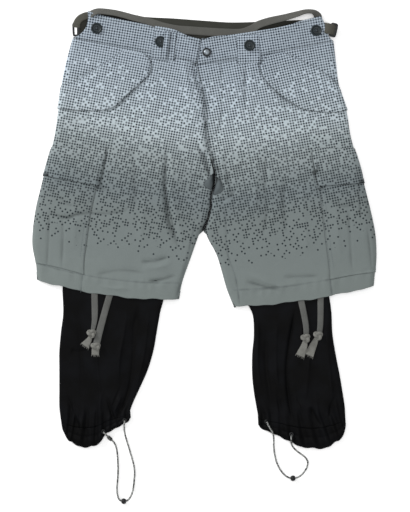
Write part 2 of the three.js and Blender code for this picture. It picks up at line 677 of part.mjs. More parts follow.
/** A flat tape along rows of x, y, z, width and roll, the roll in degrees about its own line. */
function tapeGeometry(rows, thickness) {
  const centres = rows.map(({ x, y, z }) => new THREE.Vector3(x, y, z));
  const curve = new THREE.CatmullRomCurve3(centres, false, 'centripetal');
  const count = Math.max(4, Math.round(curve.getLength() / 9));
  const layer = (side) => grid(steps(0, 1, count), [-0.5, 0.5], (s, c) => {
    const ahead = curve.getTangent(s);
    const roll = degToRad(column(rows, 'roll', s * (rows.length - 1)));
    const width = column(rows, 'width', s * (rows.length - 1));
    const across = new THREE.Vector3(-ahead.y, ahead.x, 0).normalize().applyAxisAngle(ahead, roll);
    const up = ahead.clone().cross(across);
    return curve.getPoint(s).addScaledVector(across, c * width).addScaledVector(up, side * thickness);
  });
  return wallGeometry(layer(0.5), layer(-0.5));
}

/** The height of a liner leg's upper face at a place. */
function linerHeightAt(side, x, y) {
  const table = LINER[side];
  const r = rowAt(table, 'outY', y);
  const t = (x - edgeX(table, 'out', y)) / (edgeX(table, 'in', y) - edgeX(table, 'out', y));
  return linerHeight(side, r, clamp(t, 0.02, 0.98));
}

/** The height of the highest part of a liner leg within reach of a place. */
function linerTop(side, x, y, reach) {
  const near = [-reach, 0, reach];
  return Math.max(...near.flatMap((dx) => near.map((dy) => linerHeightAt(side, x + dx, y + dy))));
}

/** A hem tie, lying on the liner down to its knot. */
function tie({ leg, route }) {
  return tapeGeometry(route.map(([x, y, width]) => ({
    x, y, z: linerTop(leg, x, y, 6) + 0.45 + TIE.thickness / 2, width, roll: 0,
  })), TIE.thickness);
}

const wasm = await Module();
wasm.setup();

/** A closed geometry as a manifold-3d solid. */
function toSolid(geometry) {
  const bare = geometry.clone().deleteAttribute('normal').deleteAttribute('uv');
  const merged = mergeVertices(bare, 1e-4);
  return new wasm.Manifold(new wasm.Mesh({
    numProp: 3,
    vertProperties: new Float32Array(merged.attributes.position.array),
    triVerts: new Uint32Array(merged.index.array),
  }));
}

/** A manifold-3d solid as a geometry. */
function fromSolid(solid) {
  const mesh = solid.getMesh();
  return new THREE.BufferGeometry()
    .setAttribute('position', new THREE.Float32BufferAttribute(mesh.vertProperties, 3))
    .setIndex(new THREE.BufferAttribute(mesh.triVerts, 1));
}

/** The knot at a tie's end, with the tape's cut tail coming out of it. */
function tieKnot({ leg, route, knot, tail }) {
  const [endX, endY] = route.at(-1);
  const turn = Math.atan2(tail[0][1] - endY, tail[0][0] - endX);
  const away = knot.along * 0.57 + 0.6;
  const x = endX + Math.cos(turn) * away;
  const y = endY + Math.sin(turn) * away;
  const floor = linerTop(leg, x, y, 8) + 0.5;
  const ball = new THREE.SphereGeometry(0.5, 12, 6);
  const position = ball.getAttribute('position');
  for (let i = 0; i < position.count; i += 1) {
    const p = new THREE.Vector3().fromBufferAttribute(position, i);
    const wrap = 1 + 0.14 * Math.cos(3 * Math.atan2(p.y, p.x)) * (1 - Math.abs(2 * p.z));
    position.setXYZ(i, p.x * knot.along * wrap, p.y * knot.across * wrap, p.z * knot.high);
  }
  ball.rotateZ(turn).translate(x, y, floor + knot.high / 2);
  const z = floor + TIE.thickness;
  const cutTail = tapeGeometry([{ x, y, z, width: 0.6 * knot.across, roll: 0 },
    ...tail.map(([tx, ty, width]) => ({ x: tx, y: ty, z, width, roll: 0 }))], TIE.thickness * 1.5);
  return fromSolid(toSolid(ball).add(toSolid(cutTail)));
}

/** A round cord along its centre points. */
function cordGeometry(points) {
  const curve = new THREE.CatmullRomCurve3(points.map((p) => new THREE.Vector3(...p)), false, 'centripetal');
  const sides = 8;
  const circle = new THREE.Shape(steps(0, 1, sides).slice(0, -1).map((s) => new THREE.Vector2(
    Math.cos(2 * Math.PI * s), Math.sin(2 * Math.PI * s)).multiplyScalar(CORD_DIAMETER / 2)));
  return new THREE.ExtrudeGeometry(circle, {
    steps: Math.round(curve.getLength() / (2.6 * CORD_DIAMETER)), extrudePath: curve, bevelEnabled: false,
  });
}

/** A ring turned about its own axis, lying along x: outline gives radius against length. */
function ringOnCord({ radius, length, bore }, waist) {
  const outline = [[bore, -0.5], [waist, -0.5], [radius, -0.12], [radius, 0.12], [waist, 0.5],
    [bore, 0.5], [bore, -0.5]].map(([r, s]) => new THREE.Vector2(r, s * length));
  return new THREE.LatheGeometry(outline, 10).rotateZ(-Math.PI / 2);
}

/** A rectangular slide buckle: a flat ring with rounded outer corners. */
function buckle() {
  const { length, width, bar, thickness } = BUCKLE;
  const corner = 2;
  const [x, y] = [length / 2, width / 2];
  const outline = new THREE.Shape();
  outline.moveTo(-x + corner, -y).lineTo(x - corner, -y).absarc(x - corner, -y + corner, corner, -Math.PI / 2, 0)
    .lineTo(x, y - corner).absarc(x - corner, y - corner, corner, 0, Math.PI / 2)
    .lineTo(-x + corner, y).absarc(-x + corner, y - corner, corner, Math.PI / 2, Math.PI)
    .lineTo(-x, -y + corner).absarc(-x + corner, -y + corner, corner, Math.PI, 1.5 * Math.PI);
  const window = new THREE.Path();
  window.moveTo(-x + bar, -y + bar).lineTo(-x + bar, y - bar).lineTo(x - bar, y - bar).lineTo(x - bar, -y + bar);
  outline.holes.push(window);
  return new THREE.ExtrudeGeometry(outline, { depth: thickness, bevelEnabled: false, curveSegments: 3 })
    .translate(0, 0, -thickness / 2);
}

/** A sew-through button: a low disc with a raised rim and a sunk middle. */
function button() {
  const r = BUTTON.diameter / 2;
  const h = BUTTON.thickness;
  const outline = [[0, 0], [0.86 * r, 0], [r, 0.35 * h], [r, 0.75 * h], [0.9 * r, h], [0.72 * r, 0.92 * h],
    [0.6 * r, 0.62 * h], [0, 0.62 * h]];
  return new THREE.LatheGeometry(outline.map(([x, y]) => new THREE.Vector2(x, y)), 16).rotateX(Math.PI / 2);
}

/** The snap's domed cap with its rolled rim. */
function snapCap() {
  const r = SNAP.diameter / 2;
  const h = SNAP.thickness;
  const outline = [[0, 0], [0.9 * r, 0], [r, 0.25 * h], [0.92 * r, 0.5 * h], [0.8 * r, 0.5 * h],
    [0.62 * r, 0.85 * h], [0.3 * r, h], [0, h]];
  return new THREE.LatheGeometry(outline.map(([x, y]) => new THREE.Vector2(x, y)), 16).rotateX(Math.PI / 2);
}

function eyelet() {
  const { outer, inner, thickness } = EYELET;
  const outline = [[inner, 0], [outer, 0], [outer, 0.5 * thickness], [lerp(inner, outer, 0.6), thickness],
    [inner, 0.7 * thickness], [inner, 0]];
  return new THREE.LatheGeometry(outline.map(([x, y]) => new THREE.Vector2(x, y)), 12).rotateX(Math.PI / 2);
}

// ---- Materials

const material = (color, roughness, metalness = 0) => new THREE.MeshStandardMaterial({ color, roughness, metalness });
const printed = material(0x8f9a9e, 0.85);
const plainCloth = material(0x6f7c7e, 0.85);
const facing = material(0x4b4c44, 0.85);
const nylon = material(0x17181c, 0.5);
const webbing = material(0x6c6c66, 0.9);
const darkButton = material(0x2f3b45, 0.4);
const metal = material(0xa9adad, 0.35, 0.9);
const cordCover = material(0x8a8a86, 0.8);
const blackPlastic = material(0x141414, 0.45);

const shorts = new THREE.Group();
shorts.name = 'cargo_shorts';

/** Adds a named piece, moved and turned to its place. */
function add(name, geometry, look, { x = 0, y = 0, z = 0, turn = 0, tip = 0 } = {}) {
  const mesh = new THREE.Mesh(geometry, look);
  mesh.name = name;
  mesh.position.set(x, y, z);
  mesh.rotation.set(0, degToRad(tip), degToRad(turn), 'ZYX');
  shorts.add(mesh);
}

for (const side of SIDES) {
  add(`back_panel_${side}`, backPanel(side), printed);
  add(`front_panel_${side}`, frontPanel(side), printed);
  add(`waistband_front_${side}`, frontWaistband(side), printed);
  add(`hip_flap_${side}`, hipFlap(side), printed);
  add(`cargo_pocket_${side}`, cargoPocket(side), printed);
  add(`cargo_flap_${side}`, cargoFlap(side), printed);
  add(`belt_loop_${side}`, beltLoop(side), printed);
  add(`crotch_gusset_${side}`, crotchGusset(side), plainCloth);

  const cuffStart = LINER[side].length - 1 + CUFF_SEAM;
  const cuffEnd = LINER[side].length;
  add(`liner_front_${side}`, linerFront(side, 0, cuffStart, 15), nylon);
  add(`liner_back_${side}`, linerBack(side, 0, cuffStart, 16), nylon);
  add(`liner_cuff_front_${side}`, linerFront(side, cuffStart + 0.02, cuffEnd, 3), nylon);
  add(`liner_cuff_back_${side}`, linerBack(side, cuffStart + 0.02, cuffEnd, 3), nylon);

  const strap = STRAP[side].map(([x, y]) => ({ x, y, z: STRAP.z, width: STRAP.width, roll: 0 }));
  add(`side_strap_${side}`, tapeGeometry(strap, STRAP.thickness), webbing);
  add(`side_buckle_${side}`, buckle(), blackPlastic, BUCKLE[side]);

  const [start, end] = [CORDS[side][0], CORDS[side].at(-1)];
  add(`cuff_eyelet_inner_${side}`, eyelet(), blackPlastic, { x: start[0], y: start[1], z: start[2] - 2.6 });
  add(`cuff_eyelet_outer_${side}`, eyelet(), blackPlastic, { x: end[0], y: end[1], z: end[2] - 2.6 });
  add(`cuff_cord_${side}`, cordGeometry(CORDS[side]), cordCover);
  add(`cord_bead_${side}`, ringOnCord(BEAD, 3.6), blackPlastic, BEAD_AT[side]);
}
add('waistband_back', backWaistband(), facing);
add('fly_shield', flyShield(), printed);
add('waist_tape', tapeGeometry(WAIST_TAPE, TAPE.thickness), webbing);
for (const [name, shape] of Object.entries(TIES)) {
  add(`hem_tie_${name}`, tie(shape), webbing);
  add(`tie_knot_${name}`, tieKnot(shape), webbing);
}
BUTTONS.forEach(({ x, y }, i) => {
  const onLoop = i === 1 || i === 2 ? DOUBLE_CLOTH - 0.6 + 0.4 : 0;
  add(`waist_button_${i + 1}`, button(), darkButton, { x, y, z: BAND_Z + 0.3 + onLoop });
});
add('fly_snap', snapCap(), metal, { x: SNAP_AT.x, y: SNAP_AT.y, z: BAND_Z + 0.3 });
add('cord_sleeve_right', ringOnCord(SLEEVE, 2.7), webbing, SLEEVE);

export default shorts;
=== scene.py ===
import math

import bpy
import numpy as np
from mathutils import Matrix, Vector


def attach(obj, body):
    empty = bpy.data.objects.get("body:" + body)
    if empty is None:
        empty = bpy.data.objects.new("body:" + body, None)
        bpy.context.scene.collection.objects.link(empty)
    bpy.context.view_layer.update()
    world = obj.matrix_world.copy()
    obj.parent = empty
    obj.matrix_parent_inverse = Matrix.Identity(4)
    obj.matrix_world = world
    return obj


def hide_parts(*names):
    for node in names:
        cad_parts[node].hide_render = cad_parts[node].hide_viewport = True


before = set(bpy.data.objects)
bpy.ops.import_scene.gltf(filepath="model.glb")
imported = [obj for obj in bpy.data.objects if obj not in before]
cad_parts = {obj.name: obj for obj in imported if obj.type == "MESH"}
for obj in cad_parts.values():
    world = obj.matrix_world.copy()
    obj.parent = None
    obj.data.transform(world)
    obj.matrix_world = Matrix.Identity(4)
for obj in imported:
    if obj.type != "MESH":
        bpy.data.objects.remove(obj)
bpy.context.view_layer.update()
MM = 0.001  # shapes are worked out in millimetres and put into their meshes in metres


# ---- The surface, the light and the camera
# The shorts lie on their back on a plain white surface, under a wide soft light from above and a
# weaker one from the upper left that shows the folds. The camera looks straight down.
VIEW = {"along": 0.9216, "centre": (0.0009, -0.0495), "height": 2.6}
PANEL_FACE = 0.008  # the height of the cloth's face, where the view is as long as named
FLOOR_HALF = 4
FLOOR_AT = -0.0004  # just under the cloth


def look_down():
    """A camera straight above: its lens is the sensor's width times the distance over the view's length."""
    data = bpy.data.cameras.new("camera")
    data.sensor_width = 36
    data.lens = data.sensor_width * (VIEW["height"] - PANEL_FACE) / VIEW["along"]
    camera = bpy.data.objects.new("camera", data)
    camera.location = (*VIEW["centre"], VIEW["height"])
    bpy.context.collection.objects.link(camera)
    bpy.context.scene.camera = camera


def soft_box(name, place, size, watts):
    """A square lamp at a place, facing the middle of the shorts."""
    data = bpy.data.lights.new(name, "AREA")
    data.size = size
    data.energy = watts
    lamp = bpy.data.objects.new(name, data)
    lamp.location = place
    lamp.rotation_euler = (-Vector(place)).to_track_quat("-Z", "Y").to_euler()
    bpy.context.collection.objects.link(lamp)


look_down()
soft_box("overhead", (0.1, 0.1, 3.2), 2.6, 50)
soft_box("upper_left", (-2.2, 1.6, 1.2), 0.8, 62)
world = bpy.data.worlds.new("studio")
bpy.context.scene.world = world
world.use_nodes = True
world.node_tree.nodes["Background"].inputs["Color"].default_value = (1, 1, 1, 1)
world.node_tree.nodes["Background"].inputs["Strength"].default_value = 0.42
bpy.context.scene.view_settings.view_transform = "Standard"

floor_mesh = bpy.data.meshes.new("floor")
corners = [(x * FLOOR_HALF, y * FLOOR_HALF, FLOOR_AT) for x, y in ((-1, -1), (1, -1), (1, 1), (-1, 1))]
floor_mesh.from_pydata(corners, [], [(0, 1, 2, 3)])
floor = bpy.data.objects.new("floor", floor_mesh)
bpy.context.collection.objects.link(floor)
white_surface = bpy.data.materials.new("white_surface")
white_surface.use_nodes = True
matt_white = {"Base Color": (0.95, 0.95, 0.95, 1), "Roughness": 0.9,
              "Emission Color": (1, 1, 1, 1), "Emission Strength": 0.25}
for socket, value in matt_white.items():
    white_surface.node_tree.nodes["Principled BSDF"].inputs[socket].default_value = value
floor_mesh.materials.append(white_surface)


# ---- Cuff cords
# An elastic cord in a braided cover, 3 mm thick, that comes out of one eyelet of each cuff, lies in
# a loop on the surface and goes back in at the other eyelet.
CORD_THICK = 3
CORD_ROUTE = {
    "right": [
        (-144, -346, 8.7), (-144.5, -352, 9.3), (-144.5, -360, 8), (-143, -372, 3.6),
        (-139, -387, 1.8), (-133, -407, 1.8), (-128, -425, 1.8), (-126, -440, 1.8), (-127, -455, 1.8),
        (-128.5, -469, 2.2), (-131.5, -480, 3.4), (-136, -487.6, 4.8), (-141, -490.9, 5.3),
        (-145.5, -491.4, 5.3), (-150, -490.9, 5.3), (-154.5, -487, 4.6), (-157, -479, 3),
        (-158, -468, 2), (-157, -456, 1.8), (-156, -442, 1.8), (-156, -428, 1.8), (-157, -410, 1.8),
        (-159, -395, 3.4), (-163.5, -384.8, 5.9), (-171, -377.5, 7), (-178.5, -370.2, 8.4),
        (-182.5, -366, 8.7),
    ],
    "left": [
        (112, -348, 8.7), (115, -354, 9.3), (119, -361, 8.6), (123.5, -370, 6),
        (125, -380, 3), (125, -394, 1.8), (127, -409, 1.8), (131, -424, 1.9), (138, -437, 2.8),
        (146, -445.6, 4.4), (155, -449.8, 5.25), (159.5, -450.1, 5.25), (164, -449.8, 5.25),
        (172, -446.4, 4.4), (179, -440, 2.8), (185, -430, 1.9), (186, -420, 1.8), (181, -412, 1.8),
        (173, -406, 1.8), (165, -400, 2.4), (158.5, -392, 5), (156, -384, 8), (156, -377, 9.2),
        (156.5, -371, 8.8),
    ],
}


def smooth(values, t):
    """Rows of values at row numbers t: a cubic between rows, its slope at a row from both neighbours."""
    values = np.asarray(values, float)
    last = len(values) - 1
    at = np.clip(np.asarray(t, float), 0, last)
    i = np.minimum(at.astype(int), last - 1)
    f = (at - i)[..., None] if values.ndim > 1 else at - i
    a, b, c, d = (values[np.clip(i + k, 0, last)] for k in (-1, 0, 1, 2))
    return b + 0.5 * f * (c - a + f * (2 * a - 5 * b + 4 * c - d + f * (3 * (b - c) + d - a)))


def drawn(points, count):
    """A smooth line through listed points, read at count even row numbers."""
    return smooth(points, np.linspace(0, len(points) - 1, count))


def once_round(count):
    """Angles once round a circle in count even steps."""
    return np.linspace(0, 2 * np.pi, count + 1)[:-1]


def along(path):
    """The distance run along a path at each of its points."""
    return np.append(0, np.cumsum(np.linalg.norm(np.diff(path, axis=0), axis=1)))


def swept(path, side, up, roll=0.0):
    """A profile carried along a path: each ring is the path's point plus side times the level direction
    across the path, plus up times the direction over both, all turned by roll degrees about the path.
    Each end closes to a point. Gives the rings, and each point's place on the cover, round and along."""
    ahead = np.gradient(path, axis=0)
    ahead /= np.linalg.norm(ahead, axis=1)[:, None]
    level = np.stack([-ahead[:, 1], ahead[:, 0], np.zeros(len(path))], axis=1)
    level /= np.linalg.norm(level, axis=1)[:, None] + 1e-9
    over = np.cross(ahead, level)
    turn = np.radians(np.broadcast_to(roll, len(path)))[:, None]
    level, over = level * np.cos(turn) + over * np.sin(turn), over * np.cos(turn) - level * np.sin(turn)
    side, up = np.atleast_2d(side), np.atleast_2d(up)
    rings = path[:, None] + side[..., None] * level[:, None] + up[..., None] * over[:, None]
    ends = [np.repeat(end.mean(0)[None, None], rings.shape[1], 1) for end in (rings[0], rings[-1])]
    run = along(path)
    run = np.concatenate([run[:1], run, run[-1:]])
    first = np.concatenate([rings[len(rings) // 2], rings[len(rings) // 2][:1]])
    cover = np.stack(np.broadcast_arrays(along(first)[None, :], run[:, None]), axis=-1)
    return np.concatenate([ends[0], rings, ends[1]]), cover


def faces_between(numbers):
    """The four-sided faces between the points of a grid, from the points' numbers."""
    corners = [numbers[:-1, :-1], numbers[:-1, 1:], numbers[1:, 1:], numbers[1:, :-1]]
    return np.stack(corners, axis=-1).reshape(-1, 4)


def smooth_mesh(name, points, faces):
    """A smoothly shaded mesh from points in millimetres."""
    mesh = bpy.data.meshes.new(name)
    mesh.from_pydata(points.reshape(-1, 3) * MM, [], faces)
    mesh.polygons.foreach_set("use_smooth", np.ones(len(faces), bool))
    return mesh


def grid_mesh(name, points, cover=None, ring=False, loop=False):
    """A mesh of four-sided faces over a grid of points in millimetres. cover gives each point's place on
    the flat cloth. In a ring the last column joins the first, and cover has one more column. In a loop the
    last row joins the first."""
    rows, columns = points.shape[:2]
    at = np.arange(rows * columns).reshape(rows, columns)
    at = np.hstack([at, at[:, :1]]) if ring else at
    at = np.vstack([at, at[:1]]) if loop else at
    mesh = smooth_mesh(name, points, faces_between(at))
    if cover is not None:
        corners = faces_between(np.arange(at.size).reshape(at.shape)).ravel()
        layer = mesh.uv_layers.new(name="cloth")
        layer.data.foreach_set("uv", (cover.reshape(-1, 2)[corners] * MM).ravel())
    return mesh


def face_out(mesh, upwards=False):
    """Turns every face over where, on the whole, they point down on an open sheet or into a closed body."""
    count = len(mesh.polygons)
    normals, centres, areas = np.empty(3 * count), np.empty(3 * count), np.empty(count)
    mesh.polygons.foreach_get("normal", normals)
    mesh.polygons.foreach_get("center", centres)
    mesh.polygons.foreach_get("area", areas)
    normals, centres = normals.reshape(-1, 3), centres.reshape(-1, 3)
    outward = normals[:, 2] if upwards else (normals * centres).sum(1)
    if (outward * areas).sum() < 0:
        mesh.flip_normals()


def add_piece(name, mesh, finish, nodes=()):
    """Adds a finished piece: it rides on the body, takes its finish, and stands for its nodes."""
    piece = bpy.data.objects.new(name, mesh)
    bpy.context.collection.objects.link(piece)
    mesh.materials.append(finish)
    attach(piece, "root")
    if nodes:
        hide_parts(*nodes)
    return piece


def solid_piece(name, points, finish, nodes, cover=None, loop=False):
    """A closed piece from its rings of points, its faces turned outwards."""
    mesh = grid_mesh(name, points, cover, ring=True, loop=loop)
    face_out(mesh)
    return add_piece(name, mesh, finish, nodes)


class Wire:
    """A shader value. Python's operators on it add the Math nodes that work the result out."""

    def __init__(self, tree, socket):
        self.tree = tree
        self.socket = socket

    def math(self, operation, *others, clamp=False):
        """One Math node, with this value as its first input."""
        node = self.tree.nodes.new("ShaderNodeMath")
        node.operation = operation
        node.use_clamp = clamp
        for socket, value in zip(node.inputs, (self, *others)):
            if isinstance(value, Wire):
                self.tree.links.new(value.socket, socket)
            else:
                socket.default_value = value
        return Wire(self.tree, node.outputs[0])

    def __add__(self, other):
        return self.math("ADD", other)

    def __sub__(self, other):
        return self.math("SUBTRACT", other)

    def __mul__(self, other):
        return self.math("MULTIPLY", other)

    def __truediv__(self, other):
        return self.math("DIVIDE", other)

    def __rsub__(self, other):
        return (self * -1) + other

    __radd__ = __add__
    __rmul__ = __mul__

    def wave(self, length):
        """A sine that repeats over a length in millimetres."""
        return (self * (2 * math.pi / (length * MM))).math("SINE")

    def between(self, low, high):
        """0 at low and before it, 1 at high and past it, and straight in between."""
        return ((self - low) / (high - low)).math("ADD", 0.0, clamp=True)


class Finish:
    """A material, built up around its Principled shader."""

    def __init__(self, name, **numbers):
        self.material = bpy.data.materials.new(name)
        self.material.use_nodes = True
        self.tree = self.material.node_tree
        self.shader = self.tree.nodes["Principled BSDF"]
        self.fill(self.shader, numbers)

    def fill(self, node, sockets):
        """Sets a node's sockets to values, or links them."""
        for name, value in sockets.items():
            socket = node.inputs[name.replace("_", " ")] if isinstance(name, str) else node.inputs[name]
            if isinstance(value, Wire):
                self.tree.links.new(value.socket, socket)
            else:
                socket.default_value = value

    def node(self, kind, settings=(), output=0, **sockets):
        """Adds a node: its settings first, then the values or links of its sockets."""
        node = self.tree.nodes.new("ShaderNode" + kind)
        for name, value in dict(settings).items():
            setattr(node, name, value)
        self.fill(node, sockets)
        return Wire(self.tree, node.outputs[output])

    def mix(self, share, first, second):
        """Two colours mixed: all the first at a share of 0, all the second at 1."""
        node = self.tree.nodes.new("ShaderNodeMix")
        node.data_type = "RGBA"
        self.fill(node, {0: share, 6: first, 7: second})
        return Wire(self.tree, node.outputs[2])

    def split(self, vector):
        """A vector's or colour's three parts."""
        node = self.tree.nodes.new("ShaderNodeSeparateXYZ")
        self.tree.links.new(vector.socket, node.inputs[0])
        return [Wire(self.tree, output) for output in node.outputs]

    def join(self, x, y, z=0.0):
        """Three parts as one vector."""
        return self.node("CombineXYZ", X=x, Y=y, Z=z)

    def noise(self, vector, scale, detail=2.0):
        return self.node("TexNoise", Vector=vector, Scale=scale, Detail=detail)

    def on_cloth(self):
        """The place on the flat cloth, in metres."""
        return self.node("UVMap", {"uv_map": "cloth"})

    def in_space(self):
        """The place in the whole, in metres."""
        return self.node("TexCoord", output=3)

    def fold(self):
        """The painted shade of a place, from its fold_shade attribute: darker where it lies in a crease or
        against an edge.
        """
        return self.node("Attribute", {"attribute_name": "fold_shade"}, 2)

    def done(self, colour, height=None, relief=0.3, roughness=None):
        """Links the colour, the roughness and a height from 0 to 1 that lifts the surface by relief mm."""
        self.fill(self.shader, {"Base_Color": colour})
        if roughness is not None:
            self.fill(self.shader, {"Roughness": roughness})
        if height is not None:
            self.fill(self.shader, {"Normal": self.node("Bump", Height=height, Distance=relief * MM)})
        return self.material


def rgb(red, green, blue):
    """A colour as a screen shows it, 0 to 255, as linear light with an alpha of 1."""
    return (*(((c / 255 + 0.055) / 1.055) ** 2.4 for c in (red, green, blue)), 1)


def braided_cover():
    """Two sets of threads cross round the cord, the sines of the sum and of the difference of the two
    directions, and the higher one shows. Scattered dark threads fleck the cover."""
    f = Finish("braided_cover", Roughness=0.8)
    around, run, _ = f.split(f.on_cloth())
    one = (around + run).wave(1.1)
    other = (around - run).wave(1.1)
    threads = one.math("MAXIMUM", other)
    fleck = f.node("TexVoronoi", output=1, Vector=f.join(around, run), Scale=480)
    dark = f.split(fleck)[0].between(0.52, 0.6)
    body = f.mix(dark, rgb(172, 174, 171), rgb(44, 45, 45))
    # The gaps where both sets of threads lie low are painted darker, as shade between the threads.
    return f.done(f.mix(threads.between(0.3, -0.5), body, rgb(60, 61, 61)), threads, 0.15)


cord_finish = braided_cover()
cord_paths = {}
turn = once_round(12)
for side, route in CORD_ROUTE.items():
    path = drawn(route, 300)
    points, cover = swept(path, CORD_THICK / 2 * np.cos(turn), CORD_THICK / 2 * np.sin(turn))
    solid_piece(f"cuff_cord_{side}_braid", points, cord_finish,
                              [f"cuff_cord_{side}"], cover)
    cord_paths[side] = path


# ---- Bead, sleeve and eyelets on the cords
# A black plastic bead with a broad waist holds the end of each loop, a short cloth-covered sleeve grips one
# cord where it leaves its cuff, and each cord goes through black eyelets pressed into the cuff.
BEAD_PROFILE = [(2.2, -4), (3.2, -4), (3.9, -3.4), (5, -0.9), (5.1, 0), (5, 0.9), (3.9, 3.4), (3.2, 4),
                (2.2, 4)]
SLEEVE = {"middle": (-171, -377.5, 7), "half_long": 6.5, "radius": 3.3}
BEAD_AT = {"right": (-145.5, -491.4, 5.3), "left": (159.5, -450, 5.25)}
EYELET_FOOT = 2.6  # how far an eyelet's foot is below its cord
EYELET_PROFILE = [(2.1, 0), (4, 0), (4.1, 0.3), (3.9, 0.6), (3.3, 0.95), (2.6, 0.95), (2.1, 0.6)]


def turned(profile, count=32):
    """A profile of radius against height, turned once round the upright axis. Rows go round."""
    radius, height = np.asarray(profile, float).T
    angle = once_round(count)[:, None]
    return np.stack(np.broadcast_arrays(radius * np.cos(angle), radius * np.sin(angle), height), axis=-1)


def turned_piece(name, points, at, finish, nodes=(), loop=False):
    """A closed turned piece, put in its place once its faces point outwards."""
    mesh = grid_mesh(name, points, ring=True, loop=loop)
    face_out(mesh)
    coordinates = np.empty(3 * len(mesh.vertices))
    mesh.vertices.foreach_get("co", coordinates)
    mesh.vertices.foreach_set("co", (coordinates.reshape(-1, 3) + np.array(at) * MM).ravel())
    return add_piece(name, mesh, finish, nodes)


def black_plastic():
    """Moulded plastic: near black, with a faint grain that breaks up its gloss."""
    f = Finish("black_plastic", Roughness=0.5, Specular_IOR_Level=0.25)
    grain = f.noise(f.in_space(), 2200)
    return f.done(f.mix(grain, rgb(22, 23, 24), rgb(32, 33, 34)), grain, 0.05)


def speckled_cover():
    """Black cloth flecked with pale threads."""
    f = Finish("speckled_black_cloth", Roughness=0.85)
    fleck = f.node("TexVoronoi", output=1, Vector=f.in_space(), Scale=900)
    pale = f.split(fleck)[0].between(0.74, 0.8)
    return f.done(f.mix(pale, rgb(26, 27, 28), rgb(120, 122, 120)), pale, 0.1)


plastic = black_plastic()
on_cord = {"right": [], "left": []}
path = cord_paths["right"]
middle = along(path)[np.argmin(np.linalg.norm(path - SLEEVE["middle"], axis=1))]
near = np.abs(along(path) - middle) < SLEEVE["half_long"]
bulge = SLEEVE["radius"] * (1 - np.linspace(-1, 1, near.sum()) ** 6)[:, None] + 0.01
points, cover = swept(path[near], bulge * np.cos(turn), bulge * np.sin(turn))
on_cord["right"].append(solid_piece("cord_sleeve_right_cloth", points, speckled_cover(),
                                    ["cord_sleeve_right"], cover))
for side in ("right", "left"):
    bead = turned(BEAD_PROFILE)[..., [2, 1, 0]]
    on_cord[side].append(turned_piece(f"cord_bead_{side}_moulded", bead, BEAD_AT[side], plastic,
                                      [f"cord_bead_{side}"], loop=True))
    path = cord_paths[side]
    path[0] * MM
    path * MM
    for which, end in (("inner", 0), ("outer", -1)):
        x, y, z = CORD_ROUTE[side][end]
        turned_piece(f"cuff_eyelet_{which}_{side}_pressed", turned(EYELET_PROFILE),
                     (x, y, z - EYELET_FOOT), plastic,
                     [f"cuff_eyelet_{which}_{side}"], loop=True)


# ---- Back leg panels
# Two panels of printed cotton, flat on the surface, joined by the seat seam down to the crotch. Their side
# seams join them to the fronts, and their hems are turned up and stitched.
# Each row crosses a leg from its outer edge to its inner edge, from the waist to the hem: x and y of both
# edges, and how far the middle of the row hangs below the straight line between them.
LEG = {
    "right": np.array([
        (-238, 343, -4, 296, -2), (-249, 303, -1, 256, 0), (-258, 260, 2, 217, 0), (-264, 213, 4, 177, 0),
        (-271, 165, 7, 138, 0), (-282, 122, 17.4, 93, 0), (-292, 80, 11.2, 58, 0), (-302, 39, 7.8, 26, 2),
        (-308, -3, -8, -6, 4), (-309, -32, -25, -53, 5), (-304, -61, -40, -96, 9),
        (-302, -92, -46, -127, 10),
    ], float),
    "left": np.array([
        (233, 336, -3, 296, 0), (238, 292, 1, 256, 0), (243, 256, 4, 217, 0), (256, 213, 6, 177, 0),
        (264, 165, 9, 138, 0), (278, 116, 20, 93, 0), (288, 73, 13.4, 58, 0), (298, 33, 9.8, 26, 2),
        (306, -6, 3.5, -9, 2), (309, -42, 23, -50, 4), (308, -73, 40, -108, 5), (305, -103, 53, -140, 7),
    ], float),
}
SIGN = {"right": -1, "left": 1}
SIDES = ("right", "left")
LEG_ACROSS = 268
COTTON = 1.0
BACK_FACE = 1.8
BACK_COTTON = 1.4
DOT_PITCH = 4.65
QUARTER = {"last": 0, "right": -1, "first": 2, "left": 1}  # quarter turns that bring a grid's edge last


def ease(value, low, high):
    """0 up to low and 1 from high on, with a smooth rise between."""
    share = np.clip((value - low) / (high - low), 0, 1)
    return share * share * (3 - 2 * share)


def on_grid(down, over):
    """Two parameters on a grid: the first changes from row to row, the second from column to column."""
    return np.meshgrid(down, over, indexing="ij")


def xyz(x, y, z):
    """Points from their x, y and z, each given over the same grid."""
    return np.stack([x, y, z], axis=-1)


def across(table, row, t):
    """x and y on a leg: row counts the table's rows, and t goes from the outer edge to the inner edge on
    the straight line between them, which sags by the row's last number times 4t(1 - t)."""
    out_x, out_y, in_x, in_y, sag = np.moveaxis(smooth(table, row), -1, 0)
    return out_x + (in_x - out_x) * t, out_y + (in_y - out_y) * t - sag * 4 * t * (1 - t)


def edge_x(table, edge, y):
    """The x of a table's outer or inner edge at y, read off a fine run of that edge's smooth line."""
    first = {"out": 0, "in": 2}[edge]
    line = drawn(table[:, first:first + 2], 500)
    return np.interp(-np.asarray(y, float), -line[:, 1], line[:, 0])


def seat_seam(y):
    """The x halfway between the inner edges of the two legs."""
    return (edge_x(LEG["right"], "in", y) + edge_x(LEG["left"], "in", y)) / 2


def above_hem(side, x, y):
    """How far a place is above the hem's edge."""
    table = LEG[side]
    outer, inner = edge_x(table, "out", y), edge_x(table, "in", y)
    t = np.clip((x - outer) / (inner - outer), 0, 1)
    return y - across(table, np.full(np.shape(t), len(table) - 1.0), t)[1]


